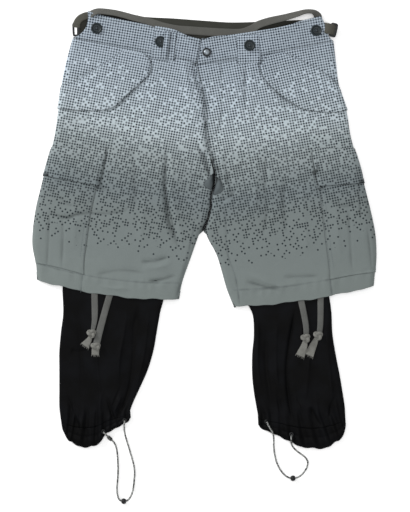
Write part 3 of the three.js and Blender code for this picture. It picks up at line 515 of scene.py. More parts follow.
def turn_under(points, edges, radius, back):
    """Adds rows past the named edges of a grid, where the cloth turns under in a half circle and runs
    back. The half circle stands on the line across the edge and on the cloth's upward normal there."""
    for edge in edges.split():
        grid = np.rot90(points, QUARTER[edge])
        out = grid[-1] - grid[-2]
        out = out / (np.linalg.norm(out, axis=1)[:, None] + 1e-9)
        normal = np.cross(out, np.gradient(grid[-1], axis=0))
        normal *= np.where(normal[:, 2:] < 0, -1, 1) / (np.linalg.norm(normal, axis=1)[:, None] + 1e-9)
        bend = np.radians([22, 50, 80, 110, 140, 180])[:, None, None]
        rows = grid[-1] + radius * (np.sin(bend) * out - (1 - np.cos(bend)) * normal)
        points = np.rot90(np.concatenate([grid, rows, rows[-1:] - back * out]), -QUARTER[edge])
    return points


def rim_shade(points, edges, hidden, width=1.3):
    """1 on the named edges of a grid and over the hidden length that is turned under there, then fading
    within a width, as shade gathers round a piece."""
    shade = np.zeros(points.shape[:2])
    for edge in edges.split():
        grid = np.rot90(points, QUARTER[edge])
        steps = np.linalg.norm(np.diff(grid, axis=0), axis=-1)
        back = np.vstack([np.cumsum(steps[::-1], axis=0)[::-1], np.zeros(grid.shape[1])])
        rim = np.exp(-(np.maximum(back - hidden, 0) / width) ** 2)
        shade = np.maximum(shade, np.rot90(rim, -QUARTER[edge]))
    return shade


def groove(lines, x, y, width):
    """1 on any of some lines, falling away as a bell over the distance from the nearest one."""
    nearest = np.full(np.shape(x), 1e9)
    for line in lines:
        path = drawn(line, 120)
        away = (x[..., None] - path[:, 0]) ** 2 + (y[..., None] - path[:, 1]) ** 2
        nearest = np.minimum(nearest, away.min(axis=-1))
    return np.exp(-nearest / width ** 2)


def crease_height(creases, x, y, sharp=0.45, wide=1):
    """What creases add to a height: each is a wide bell over the distance from its line, with a narrow
    bell a third as wide for its sharp share. It is wider on one flank, fades at both ends and swells
    between."""
    total = np.zeros(np.shape(x))
    for number, (line, width, height, lean) in enumerate(creases):
        points = drawn(line, 60)
        ahead = np.gradient(points, axis=0)
        ahead /= np.linalg.norm(ahead, axis=1)[:, None]
        apart = (x[..., None] - points[:, 0]) ** 2 + (y[..., None] - points[:, 1]) ** 2
        nearest = np.argmin(apart, axis=-1)
        away = np.stack([x, y], axis=-1) - points[nearest]
        side_way = away[..., 0] * ahead[nearest, 1] - away[..., 1] * ahead[nearest, 0]
        share = nearest / 59 + (away * ahead[nearest]).sum(-1) / along(points)[-1]
        fade = ease(share, 0, 0.3) * ease(1 - share, 0, 0.3) * (1 + 0.25 * np.sin(9 * share + 2 * number))
        across_it = side_way / (width * np.where(side_way > 0, lean, 1))
        core = np.maximum(0.32, 1.7 / width)
        bells = wide * (1 - sharp) * np.exp(-across_it ** 2) + sharp * np.exp(-(across_it / core) ** 2)
        total += height * fade * bells
    return total


def rumple(x, y, cell, height, seed):
    """Slow unevenness: seeded random heights on the corners of square cells, joined smoothly."""
    net = np.random.default_rng(seed).uniform(-height, height, (64, 64))
    u, v = x / cell + 32.5, y / cell + 32.5
    i, j = np.floor(u).astype(int) % 63, np.floor(v).astype(int) % 63
    fu, fv = ease(u % 1, 0, 1), ease(v % 1, 0, 1)
    near = net[i, j] + (net[i + 1, j] - net[i, j]) * fu
    far = net[i, j + 1] + (net[i + 1, j + 1] - net[i, j + 1]) * fu
    return near + (far - near) * fv


def grain(points, degrees, shift=(0, 0)):
    """A point's place on the cloth: its x and y turned by the angle of the grain, and shifted."""
    angle = math.radians(degrees)
    x, y = points[..., 0], points[..., 1]
    return np.stack([x * math.cos(angle) + y * math.sin(angle) + shift[0],
                     y * math.cos(angle) - x * math.sin(angle) + shift[1]], axis=-1)


def add_cloth(name, points, cover, finish, nodes, thickness=COTTON, shade=None):
    """A laid sheet of cloth on a grid of points: its outer face is the grid, its thickness goes inwards.
    shade gives each point's painted shade: how dark it is painted for lying in a crease or against an edge."""
    mesh = grid_mesh(name, points, cover)
    face_out(mesh, upwards=True)
    if shade is not None:
        mesh.attributes.new("fold_shade", "FLOAT", "POINT").data.foreach_set("value", shade.ravel())
    piece = add_piece(name, mesh, finish, nodes)
    wall = piece.modifiers.new("thickness", "SOLIDIFY")
    wall.thickness = thickness * MM
    wall.offset = -1
    return piece


def printed_cotton():
    """Cotton dyed from pale blue-grey at the waist to mid grey at the hem, and printed all over with a net
    of small dark dots, each in its own square cell with thin arms to the next. A cell is printed where a
    random number for it, a little higher in every other cell, is under a share that falls from the waist
    to the hem."""
    f = Finish("printed_cotton", Roughness=0.9, Specular_IOR_Level=0.2)
    u, v, _ = f.split(f.on_cloth())
    x, y, _ = f.split(f.in_space())
    low = y - x.math("ABSOLUTE") * 0.17 + x.between(-0.03, 0.06) * 0.009 + 0.041
    cells_u, cells_v = u / (DOT_PITCH * MM), v / (DOT_PITCH * MM)
    cell_u, cell_v = cells_u.math("FLOOR"), cells_v.math("FLOOR")
    du = (cells_u - cell_u - 0.5).math("ABSOLUTE")
    dv = (cells_v - cell_v - 0.5).math("ABSOLUTE")
    cell = f.join(cell_u, cell_v)
    chance = f.node("TexWhiteNoise", Vector=cell)
    near = f.noise(cell, 0.3, 1.0)
    odd = (cell_u + cell_v).math("PINGPONG", 1.0)
    share = (low.between(-0.034, -0.027) * 0.37 + low.between(-0.027, 0.014) * 0.3
             + low.between(0.012, 0.08) * 0.4 + low.between(0.08, 0.2) * 0.1
             + low.between(0.2, 0.3) * 0.12 + low.between(0.308, 0.319) * 0.5 - 0.35)
    printed = (share - chance - (near - 0.5) * 0.14 - (odd - 0.5) * 0.26).between(-0.01, 0.01)
    reach = (du * du + dv * dv).math("SQRT")
    dot = reach.between(0.4, 0.28)
    arm = du.math("MINIMUM", dv).between(0.16, 0.08) * (low.between(0.0, 0.26) * 0.46 + 0.16)
    ink = dot.math("MAXIMUM", arm) * printed * (chance * -0.3 + 1.05)
    dye = f.node("ValToRGB", Fac=low.between(-0.1, 0.35))
    ramp = dye.socket.node.color_ramp
    stops = [(0.0, rgb(116, 124, 122)), (0.33, rgb(115, 123, 123)), (0.42, rgb(115, 124, 127)),
             (0.475, rgb(125, 134, 136)), (0.53, rgb(140, 149, 151)), (0.565, rgb(146, 155, 157)),
             (0.6, rgb(155, 165, 168)), (0.635, rgb(170, 180, 184)), (0.67, rgb(182, 193, 198)),
             (0.81, rgb(183, 195, 204)), (1.0, rgb(173, 185, 197))]
    for place, colour in stops[1:-1]:
        ramp.elements.new(place).color = colour
    ramp.elements[0].color, ramp.elements[-1].color = stops[0][1], stops[-1][1]
    wash = f.noise(f.in_space(), 9, 3.0)
    shade = f.mix(wash.between(0.3, 0.75) * 0.16, dye, rgb(120, 128, 126))
    dark = f.mix(low.between(0.1, 0.32), rgb(32, 39, 43), rgb(32, 42, 53))
    weave = u.wave(0.9) * v.wave(0.9)
    slub = f.noise(f.in_space(), 1400)
    cloth = f.mix(ink, shade, dark)
    # Painted shade: the fold_shade attribute mixes the cloth towards near black in creases, along edges and
    # at the slit between the legs.
    return f.done(f.mix(f.fold() * 0.58, cloth, rgb(16, 18, 21)), weave * 0.25 + slub, 0.25)


# The back's own creases: points along each, how wide it is, how far it lifts off the surface, and how much
# wider its one flank is than the other.
BACK_CREASES = {
    "right": [
        ([(-60, 170), (-66, 90), (-58, 10), (-44, -50)], 10, 1.3, 1.5),
        ([(-30, 160), (-14, 120), (4, 96)], 7, 1.2, 1.3),
        ([(-96, 96), (-50, 84), (-4, 78)], 8, 1.1, 1.4),
        ([(-128, 140), (-124, 60), (-130, -20)], 13, 0.9, 0.7),
        ([(-250, 150), (-215, 110), (-196, 40)], 11, 1.0, 1.4),
        ([(-226, 262), (-180, 246), (-130, 252)], 9, 1.1, 1.5),
        ([(-96, 290), (-90, 240), (-98, 180)], 9, 0.9, 0.7),
        ([(-270, 40), (-220, 28), (-160, 36)], 7, 1.1, 1.4),
        ([(-112, -50), (-84, -46), (-56, -38)], 7, 0.8, 1.3),
    ],
    "left": [
        ([(104, 160), (108, 80), (100, 0), (94, -46)], 11, 1.3, 0.7),
        ([(44, 156), (30, 120), (24, 96)], 7, 1.2, 1.4),
        ([(110, 106), (66, 90), (24, 80)], 8, 1.0, 1.5),
        ([(170, 120), (160, 40), (168, -30)], 12, 0.9, 1.4),
        ([(262, 160), (226, 116), (208, 50)], 10, 1.0, 0.7),
        ([(216, 250), (176, 238), (128, 248)], 9, 1.2, 1.4),
        ([(70, 300), (76, 250), (66, 196)], 8, 0.9, 1.4),
        ([(276, 50), (230, 34), (170, 40)], 8, 1.0, 1.3),
        ([(64, 30), (50, -10), (56, -50)], 8, 0.9, 0.7),
    ],
}


cotton = printed_cotton()


def add_printed(node, points, degrees, shift=(0, 0), thickness=COTTON, shade=None):
    """A sheet of the printed cotton that stands for its node: its grain is turned and shifted."""
    add_cloth(f"{node}_cloth", points, grain(points, degrees, shift), cotton, [node],
              thickness, shade)


for side in SIDES:
    table = LEG[side].copy()
    table[0, 1], table[0, 3] = 331, 324  # the panel ends under the waistband
    rows, t = on_grid(np.linspace(0, len(table) - 1, 120), np.linspace(0.004, 1, 52))
    x, y = across(table, rows, t)
    seat = seat_seam(y) + SIGN[side] * 0.04
    # Above the crotch the inner edges meet at the seat seam, and the cloth beside them follows.
    x = x + (seat - x) * (t == 1) * ease(y, -10, -5)
    x[:, 1:-1] += (x[:, -1:] - across(table, rows, t)[0][:, -1:]) * t[:, 1:-1] ** 3
    hem = 0.25 * ease(above_hem(side, x, y), 31.5, 28.5)
    clear = ease(LEG_ACROSS * np.minimum(t, 1 - t), 5, 20)
    clear = clear * ease(above_hem(side, x, y), 45, 70) * ease(320 - y, 0, 15)
    lift = clear * (crease_height(BACK_CREASES[side], x, y) + 0.3 + rumple(x, y, 40, 0.3, 4))
    points = xyz(x, y, BACK_FACE - 0.3 + hem + lift)
    # Painted shade: a dark band down the seat seam, where the slit between the legs lies in shade, and over
    # the back's creases.
    slit = 1.9 * np.exp(-((x - seat) / 4.5) ** 2) * ease(y, -14, 0) * ease(-y, -150, -100)
    slit += 0.5 * clear * np.clip(crease_height(BACK_CREASES[side], x, y, 1.0, 0), 0, 1)
    add_printed(f"back_panel_{side}", points, 11 * SIGN[side], thickness=BACK_COTTON, shade=slit)


# ---- Liner legs and cuffs
# Thin black nylon, with one wall on the surface and one over it. Each leg narrows to a seamed cuff, which
# is gathered by its cord and puckers all round.
LINER = {
    "right": np.array([
        (-253, -76, -66, -90, 0), (-256, -111, -73, -125, 0), (-255, -152, -80, -152, 0),
        (-259, -186, -86, -186, 0), (-262, -222, -92, -220, 0), (-262, -257, -102, -254, 0),
        (-262, -291, -115, -284, 0), (-262, -320, -128, -312, 0), (-260, -340, -134, -328, 0),
    ], float),
    "left": np.array([
        (222, -76, 66, -98, 0), (224, -114, 76, -132, 0), (229, -150, 87, -156, 0),
        (231, -190, 89, -192, 0), (237, -228, 86, -228, 0), (244, -264, 86, -264, 0),
        (249, -294, 89, -294, 0), (253, -320, 93, -318, 0), (254, -336, 96, -334, 0),
    ], float),
}
CUFF_EDGE = {
    "right": [(-257, -360), (-250, -374), (-240, -385), (-224, -392), (-205, -393), (-190, -386),
              (-177, -370), (-162, -360), (-146, -353), (-133, -341)],
    "left": [(255, -354), (250, -372), (236, -385), (220, -394), (196, -396), (174, -392), (154, -384),
             (134, -373), (114, -366), (97, -354)],
}
CUFF_SEAM = 0.42  # where a cuff starts, as a share of the way from the leg's last row to the cuff's edge
LINER_LAST = 8
LINER_ACROSS = {"front": 155, "back": 150}
NYLON = 0.7
# Creases: points along each, how wide it is, how high it stands or, below 0, how deep it lies, and how much
# wider its one flank is than the other.
LINER_CREASES = {
    "right": [
        ([(-118, -120), (-122, -160), (-129, -250), (-141, -310), (-166, -356)], 6, -2.4, 1.8),
        ([(-138, -120), (-145, -183), (-154, -237), (-156, -300)], 9, 1.5, 0.6),
        ([(-233, -118), (-224, -201), (-220, -273), (-224, -336)], 9, -1.1, 1.6),
        ([(-192, -150), (-194, -237), (-188, -300), (-192, -360)], 8, 1.2, 1.5),
        ([(-98, -129), (-104, -183), (-112, -240), (-127, -300)], 7, 1.3, 1.4),
        ([(-176, -300), (-166, -336), (-152, -352)], 5, -1.5, 1.3),
        ([(-242, -219), (-228, -222), (-202, -216)], 7, -0.8, 1.5),
        ([(-250, -300), (-236, -330), (-222, -372)], 6, -1.2, 1.4),
        ([(-238, -318), (-226, -345), (-210, -380)], 5, 1.0, 1.4),
        ([(-150, -300), (-158, -322), (-180, -352)], 5, 1.2, 1.3),
    ],
    "left": [
        ([(168, -120), (158, -177), (148, -248), (152, -310), (162, -360)], 6, -2.4, 0.6),
        ([(176, -150), (175, -190), (172, -250)], 8, 1.7, 1.5),
        ([(114, -150), (111, -237), (118, -300), (122, -350)], 8, -1.3, 1.5),
        ([(190, -320), (200, -340), (214, -360)], 5, -1.6, 1.4),
        ([(217, -150), (222, -219), (228, -282), (233, -335)], 8, 1.1, 1.5),
        ([(91, -129), (96, -183), (96, -246), (104, -300)], 6, 1.1, 1.4),
        ([(190, -210), (186, -264), (181, -309)], 9, 1.2, 1.5),
        ([(131, -160), (128, -230), (133, -300)], 8, 1.1, 1.5),
        ([(236, -300), (226, -330), (222, -372)], 5, -1.1, 1.4),
        ([(168, -310), (176, -340), (180, -372)], 5, 1.2, 1.4),
    ],
}


def dome(inside, radius):
    """0 at an edge, rising like a quarter circle to 1 one radius inside it."""
    return np.sqrt(1 - (1 - np.clip(inside / radius, 0, 1)) ** 2)


def fold_shade(creases, points):
    """How deep a place lies in the sharp bottoms of the creases, 0 to 1, used as painted shade."""
    depth = -crease_height(creases, points[..., 0], points[..., 1], 1.0, 0)
    return np.clip(depth / 2.4, 0, 1)


# The creases of the walls that lie on the surface, which lift off it.
LINER_BACK_CREASES = {
    "right": [
        ([(-120, -140), (-128, -220), (-146, -310)], 7, 1.4, 1.5),
        ([(-226, -140), (-218, -220), (-224, -320)], 8, 1.2, 0.7),
        ([(-176, -170), (-182, -240), (-176, -330)], 8, 1.1, 1.3),
        ([(-150, -250), (-164, -300), (-172, -345)], 6, 1.2, 1.4),
        ([(-246, -206), (-220, -212), (-190, -208)], 7, 0.9, 1.4),
    ],
    "left": [
        ([(106, -140), (114, -220), (112, -310)], 7, 1.4, 0.7),
        ([(208, -140), (214, -230), (230, -320)], 8, 1.2, 1.4),
        ([(158, -160), (152, -240), (160, -340)], 8, 1.1, 1.3),
        ([(186, -230), (190, -290), (204, -345)], 6, 1.2, 1.4),
        ([(98, -240), (130, -248), (160, -242)], 7, 0.9, 1.4),
    ],
}


def liner_plan(side, row, t):
    """x and y of a liner leg: row counts its rows and then one more, down to the cuff's scalloped edge."""
    leg_x, leg_y = across(LINER[side], np.minimum(row, LINER_LAST), t)
    down = np.clip(row - LINER_LAST, 0, 1)
    cuff = smooth(CUFF_EDGE[side], t * 9)
    scallop = (0.9 * np.cos(18 * np.pi * t) + 0.9 * np.sin(31 * t)) * down ** 3
    return leg_x + (cuff[..., 0] - leg_x) * down, leg_y + (cuff[..., 1] - leg_y) * down + scallop


def under_liner(side, x, y):
    """What the liner is lifted by: nothing outside the leg, and the back panel's hem inside it."""
    return 2.2 * (1 - ease(-above_hem(side, x, y), 6, 24))


def gathers(side, row, t):
    """The gathers over a cuff: waves round it of uneven width that run out at uneven heights up the leg."""
    start = LINER_LAST - 1.5 + 0.8 * np.sin(31 * t + (side == "left")) + 0.4 * np.sin(57 * t)
    waves = 1.5 * np.cos(18 * np.pi * t + 1.1 * np.sin(7 * t)) + 0.7 * np.cos(46 * t + 2 * row)
    return waves * ease(row, start, start + 2.2)


def liner_height(side, row, t):
    """The height of a liner leg's upper face: quarter circles at the sides, then level with its creases,
    then puckers that grow towards the cuff, over which the cuff's cord channel bulges."""
    x, y = liner_plan(side, row, t)
    edge = 1.5 + under_liner(side, x, y)
    width = np.abs(liner_plan(side, row, np.ones_like(t))[0] - liner_plan(side, row, np.zeros_like(t))[0])
    outside = ease(row, 1.4, 3)
    down = np.clip(row - LINER_LAST, 0, 1)
    seam = -0.12 * np.exp(-((row - LINER_LAST - CUFF_SEAM) / 0.035) ** 2)
    channel = 0.9 * np.sin(np.pi * ease(down, 0.68, 1)) - 0.5 * np.exp(-((down - 0.68) / 0.045) ** 2)
    level = (5.8 + 0.3 * outside + gathers(side, row, t) - 0.9 * down ** 2 + seam + channel
             + outside * (1.9 * crease_height(LINER_CREASES[side], x, y) + rumple(x, y, 38, 0.9, 5)
                          + rumple(x, y, 13, 0.25, 6)))
    return edge + (np.maximum(level, 2.6) - edge) * dome(np.minimum(t, 1 - t) * width, 9)


def side_shares(width, count):
    """Shares of the way across, with more of them where the cloth rounds over at the sides."""
    near = np.array([0, 0.3, 1, 2, 3.4, 5, 7, 9]) / width
    return np.concatenate([near, np.linspace(near[-1], 1 - near[-1], count)[1:-1], 1 - near[::-1]])


def black_nylon():
    """Fine plain-woven nylon: near black, with a soft gloss, broad soft patches of painted sheen, painted
    shade in its creases and a trace of the weave.
    """
    f = Finish("black_nylon", Roughness=0.62, Specular_IOR_Level=0.07)
    weave = f.noise(f.in_space(), 1900)
    # Painted sheen: broad noise patches lift the near black towards a lighter blue-black.
    wear_and_sheen = f.noise(f.in_space(), 26, 3.0)
    cloth = f.mix(wear_and_sheen.between(0.38, 0.64), rgb(1, 1, 2), rgb(8, 9, 12))
    # Painted shade: the fold_shade attribute darkens the creases to black.
    return f.done(f.mix(f.fold() * 0.9, cloth, rgb(1, 1, 2)), weave, 0.12)


nylon = black_nylon()
for side in SIDES:
    for part, first, last, count in (("liner", 0, LINER_LAST + CUFF_SEAM, 150),
                                     ("liner_cuff", LINER_LAST + CUFF_SEAM, LINER_LAST + 1, 34)):
        row, t = on_grid(np.linspace(first, last, count), side_shares(LINER_ACROSS["front"], 98))
        x, y = liner_plan(side, row, t)
        points = xyz(x, y, liner_height(side, row, t))
        # Painted shade: dark in the bottoms of the creases, in the valleys of the gathers and over the
        # creases' broad flanks.
        shade = fold_shade(LINER_CREASES[side], points) + 0.6 * np.clip(-gathers(side, row, t) / 2, 0, 1)
        shade += 0.5 * np.clip(-crease_height(LINER_CREASES[side], x, y, 0) / 2, 0, 1)
        if part == "liner_cuff":
            points = turn_under(points, "last", 0.8, 8)
            shade = np.vstack([shade, np.repeat(shade[-1:], len(points) - len(shade), axis=0)])
        add_cloth(f"{part}_front_{side}_nylon", points, grain(points, 0), nylon,
                  [f"{part}_front_{side}"], NYLON, shade)
        row, t = on_grid(np.linspace(first, last, count // 2), np.linspace(0.008, 0.992, 64))
        x, y = liner_plan(side, row, t)
        lift = np.abs(gathers(side, row, t)) * 0.5 + crease_height(LINER_BACK_CREASES[side], x, y)
        clear = ease(LINER_ACROSS["back"] * np.minimum(t, 1 - t), 3, 12) * ease(row, 1.2, 2.5)
        clear = clear * (1 - 0.4 * ease(row, 8.6, 9))
        points = xyz(x, y, 1.0 + under_liner(side, x, y) + clear * lift)
        # The walls on the surface are painted darker where their creases and gathers lift off it, as painted
        # shade.
        add_cloth(f"{part}_back_{side}_nylon", points, grain(points, 0), nylon,
                  [f"{part}_back_{side}"], NYLON, 0.7 * clear * np.clip(lift / 1.5, 0, 1))


# ---- Hem ties and their knots
# Lengths of soft twill tape sewn inside the hems, two to a leg, that lie down the liner. Each ends in a
# plain overhand knot with a short frayed tail.
TIE_THICK = 1.1
CURLED = 0.92  # how wide a tie lies, as a share of its tape, whose edges curl
TIES = {
    "right_outer": {"leg": "right", "line": [(-198, -84, 12.6), (-198, -115, 12.6), (-197.5, -145, 12.6),
                                             (-198, -165, 11), (-201, -183, 8)],
                    "knot": (13, 14, 7), "tail": [(-207, -199, 10), (-215, -211, 16)]},
    "right_inner": {"leg": "right", "line": [(-161, -88, 12.6), (-171, -121, 12.6), (-180, -152, 12.8),
                                             (-189, -186, 13.4), (-194, -207, 13.6)],
                    "knot": (10, 16, 6.4), "tail": [(-196, -216, 14), (-196.5, -227, 13)]},
    "left_inner": {"leg": "left", "line": [(165, -94, 12.6), (173, -126, 12.6), (179, -154, 12),
                                           (182.5, -176, 11.5), (183, -191, 10.5)],
                   "knot": (13, 15, 7), "tail": [(179, -212, 13), (172, -229, 16)]},
    "left_outer": {"leg": "left", "line": [(209, -84, 12.6), (209, -116, 12.4), (209, -150, 12),
                                           (208.5, -172, 11.5), (207, -187, 10.5)],
                   "knot": (13, 15, 7), "tail": [(197, -208, 13), (188, -228, 16)]},
}


def liner_top(side, x, y, reach):
    """The height of the highest part of a liner leg within reach of each place."""
    table = LINER[side]
    rows = np.linspace(0, LINER_LAST, 200)
    heights = []
    for dx, dy in ((0, 0), (reach, 0), (-reach, 0), (0, reach), (0, -reach)):
        row = np.interp(-(y + dy), -across(table, rows, np.full(200, 0.5))[1], rows)
        outer, inner = edge_x(table, "out", y + dy), edge_x(table, "in", y + dy)
        heights.append(liner_height(side, row, np.clip((x + dx - outer) / (inner - outer), 0.02, 0.98)))
    return np.max(heights, axis=0)


def flat_profile(width, thickness, bow=0.0):
    """A tape's cross-section: flat faces and rounded edges, its middle bowed up. Its width may change."""
    around = np.array([-0.5, -0.47, -0.3, 0, 0.3, 0.47, 0.5, 0.47, 0.3, 0, -0.3, -0.47])
    over = np.array([0, 0.5, 0.5, 0.5, 0.5, 0.5, 0, -0.5, -0.5, -0.5, -0.5, -0.5])
    side = np.atleast_1d(width)[:, None] * around
    return side, np.broadcast_to(over * thickness + bow * (1 - 4 * around ** 2), side.shape)


def twill_tape(name, light, dark, rib=1.1):
    """Cotton webbing: fine slanting ribs of a light and a dark yarn, rough and without gloss."""
    f = Finish(name, Roughness=0.92, Specular_IOR_Level=0.15)
    u, v, _ = f.split(f.on_cloth())
    rib_wave = (u + v * 0.6).wave(rib) * 0.5 + 0.5
    worn = f.noise(f.in_space(), 60, 3.0)
    return f.done(f.mix(rib_wave * 0.5 + worn * 0.5, dark, light), rib_wave, 0.2)


tie_tape = twill_tape("grey_twill_tape", rgb(112, 113, 110), rgb(74, 75, 73))
tie_end = twill_tape("frayed_twill_tape", rgb(146, 146, 140), rgb(82, 82, 79), 1.6)
for name, tie in TIES.items():
    line = drawn(tie["line"], 60)
    height = liner_top(tie["leg"], line[:, 0], line[:, 1], 6) + 0.5 + TIE_THICK / 2
    height += 0.5 * np.sin(np.linspace(0, 9, 60) + len(name)) ** 2
    path = np.column_stack([line[:, :2], height])
    roll = 5 * np.sin(np.linspace(0, 6, 60) + 2 * len(name))
    points, cover = swept(path, *flat_profile(line[:, 2] * CURLED, TIE_THICK, 0.5), roll)
    solid_piece(f"hem_tie_{name}_tape", points, tie_tape, [f"hem_tie_{name}"], cover)

    # The knot is a trefoil: a closed band that crosses over and under itself three times.
    end = np.array(tie["line"][-1][:2])
    first_tail = np.array(tie["tail"][0][:2])
    ahead = (first_tail - end) / np.linalg.norm(first_tail - end)
    beside = np.array([-ahead[1], ahead[0]])
    long, wide, high = tie["knot"]
    centre = end + ahead * (0.45 * long)
    floor_z = float(liner_top(tie["leg"], centre[0], centre[1], 8)) + 0.5
    s = once_round(96) + 0.6
    loop_along = (np.sin(s) + 2 * np.sin(2 * s)) / 3 * (long / 2 - 0.8)
    loop_across = (np.cos(s) - 2 * np.cos(2 * s)) / 3 * (wide / 2 - 0.8)
    loop_up = floor_z + high / 2 - np.sin(3 * s) * (high / 2 - 1.5)
    path = np.column_stack([centre + loop_along[:, None] * ahead + loop_across[:, None] * beside, loop_up])
    circle = once_round(14)
    rings, cover = swept(np.vstack([path, path[:1]]), 3.1 * np.cos(circle), 1.7 * np.sin(circle))
    solid_piece(f"tie_knot_{name}_wrap", rings[1:-2], tie_end, [f"tie_knot_{name}"],
                cover[1:-1], loop=True)
    # The tail comes out of the knot in pleats and spreads towards its cut end.
    spots = np.array([(*centre, 0.45 * wide), *tie["tail"]])
    line = drawn(spots, 40)
    lift = liner_top(tie["leg"], line[:, 0], line[:, 1], 4) + 0.9 + 0.9 * np.linspace(1, 0, 40)
    side_by, up_by = flat_profile(line[:, 2] * np.linspace(0.8, 1.05, 40), 1.0)
    pleat = np.linspace(0.3, 1, 40)[:, None] * 0.7 * np.cos(side_by * 2.2)
    points, cover = swept(np.column_stack([line[:, :2], lift]), side_by, up_by + pleat)
    solid_piece(f"tie_tail_{name}_tape", points, tie_end, (), cover)


# ---- Front leg panels
# Two panels of the printed cotton over the backs, rounding over at the side seams and, below the crotch, at
# the inseams. The left one's folded edge laps over the right one at the fly, and the hems are turned up.
FRONT_FACE = 7.4
FRONT_COTTON = 0.9
HEM_DEPTH = 30
LEG_CREASES = {
    "right": [
        ([(-68, 160), (-71, 96), (-70, 60), (-61, 15), (-46, -44)], 8, -2.9, 0.55),
        ([(-73, 118), (-72, 60), (-66, 18), (-54, -30)], 15, -1.5, 1),
        ([(-57, 130), (-59, 69), (-50, 24), (-34, -30)], 10, 2.0, 1.4),
        ([(-41, 318), (-31, 267), (-21, 225), (-10, 180)], 10, 1.8, 0.6),
        ([(-28, 330), (-20, 285), (-8, 235)], 6, -1.0, 1.2),
        ([(-15, 165), (-4, 125), (10, 95)], 5, -1.2, 1.5),
        ([(-8, 148), (0, 128), (8, 108), (11, 88)], 4, -1.7, 1.4),
        ([(-40, 100), (-18, 96), (2, 90)], 4.5, -1.1, 1.4),
        ([(-1, 142), (3, 122), (6, 104)], 3, -1.7, 1.3),
        ([(5, 110), (8, 100), (11, 88)], 3, -1.5, 1.3),
        ([(-30, 68), (-14, 74), (2, 76)], 4, -1.0, 1.4),
        ([(-52, 112), (-20, 104), (6, 96)], 9, 1.3, 1.4),
        ([(-284, 31), (-249, 21), (-224, 27), (-179, 27), (-148, 31), (-134, 40)], 5, -1.2, 1.5),
        ([(-116, -60), (-89, -58), (-62, -50)], 4.5, -1.5, 1.4),
        ([(-112, -72), (-85, -70), (-55, -62)], 7, 1.1, 1.2),
        ([(-104, -95), (-78, -92), (-50, -83)], 4.5, -1.6, 1.4),
        ([(-200, -84), (-152, -75), (-104, -80)], 6, -0.8, 1.6),
        ([(-190, -102), (-161, -108), (-130, -106)], 6, 1.0, 1.3),
        ([(-236, 267), (-217, 277), (-188, 294)], 5, -1.0, 1.5),
        ([(-260, 205), (-233, 196), (-196, 203)], 6, -0.9, 1.5),
        ([(-130, 150), (-126, 90), (-124, 30)], 11, -0.9, 1.5),
        ([(-104, 60), (-112, 10), (-116, -40)], 12, 0.9, 1.4),
        ([(-96, 290), (-88, 240), (-86, 190)], 12, 0.8, 1.4),
    ],
    "left": [
        ([(112, 165), (110, 84), (112, 24), (104, -14)], 6, -1.0, 1.6),
        ([(94, 160), (92, 84), (92, 10)], 11, 1.4, 1.3),
        ([(75, 298), (73, 258), (75, 205)], 5, -1.5, 1.4),
        ([(84, 298), (84, 258), (86, 215)], 7, 0.9, 1.3),
        ([(36, 150), (44, 87), (58, 30)], 7, -0.7, 1.5),
        ([(26, 150), (34, 95), (44, 40)], 6, 1.3, 1.3),
        ([(70, 124), (44, 108), (22, 98)], 8, 1.2, 1.4),
        ([(13, 150), (17, 128), (24, 110), (34, 92)], 4, -1.4, 1.4),
        ([(21, 129), (15, 119), (12, 108)], 3, -1.7, 1.3),
        ([(9, 116), (17, 106), (24, 95)], 3, -1.9, 1.3),
        ([(23, 114), (27, 98), (30, 84)], 3, -1.9, 1.3),
        ([(28, 92), (32, 82), (36, 70)], 3, -1.5, 1.3),
        ([(46, 100), (40, 80), (30, 56)], 4, -0.8, 1.4),
        ([(58, 70), (44, 56), (26, 50)], 4, -1.1, 1.4),
        ([(66, -78), (100, -90), (136, -104), (172, -98)], 6, 1.7, 1.4),
        ([(72, -94), (104, -103), (140, -112)], 5, -1.4, 1.4),
        ([(140, -87), (172, -86), (210, -85)], 4, -1.0, 1.5),
        ([(70, -118), (112, -108), (172, -101)], 6, -0.4, 1.4),
        ([(145, 100), (143, 42), (148, -14)], 10, -1.0, 1.5),
        ([(176, 80), (180, 20), (186, -50)], 12, 0.9, 1.4),
        ([(210, 286), (230, 271), (246, 254)], 5, -1.3, 1.5),
        ([(150, 297), (172, 291), (212, 291)], 4.5, -0.8, 1.4),
        ([(128, 300), (138, 250), (150, 200)], 12, -0.7, 1.4),
    ],
}
# The felled seam down each inseam, and below each cargo pocket the seam that its front edge is set in.
SEAMS = {
    "right": [[(-19, 0), (-31, -50), (-49, -120)], [(-216, -40), (-218, -70), (-223, -118)]],
    "left": [[(34, 40), (38, 12), (42, -46), (55, -84), (63, -134)], [(224, -60), (226, -90), (229, -118)]],
}
# Where the leg is pressed in along the free edges of what lies on it; the front panels are also painted with
# shade along these lines.
EDGE_MARKS = {
    "right": [
        ([(-118, 322), (-101, 308), (-97, 290), (-102, 276), (-128, 250), (-168, 213), (-200, 208)],
         2.6, -1.8, 1),
        ([(-172, 152), (-181, 120), (-188, 92), (-194, 72)], 2.6, -2.4, 1),
    ],
    "left": [
        ([(108, 318), (100, 305), (101, 288), (108, 271), (128, 248), (160, 222), (188, 208)],
         2.6, -1.8, 1),
        ([(191, 150), (197, 120), (202, 92), (206, 70)], 2.6, -2.4, 1),
    ],
}


def hem_line(side):
    """The line of stitches along the top of a turned-up hem."""
    points = across(LEG[side], np.full(7, len(LEG[side]) - 1.0), np.linspace(0, 1, 7))
    return np.column_stack(points) + (0, HEM_DEPTH - 1)


FLY_LINE = [(29, 296), (31, 262), (32, 235), (30, 206), (25, 182), (16, 166), (8, 158)]
STITCHED = {side: [hem_line(side), *SEAMS[side]] + [FLY_LINE] * (side == "left") for side in SIDES}


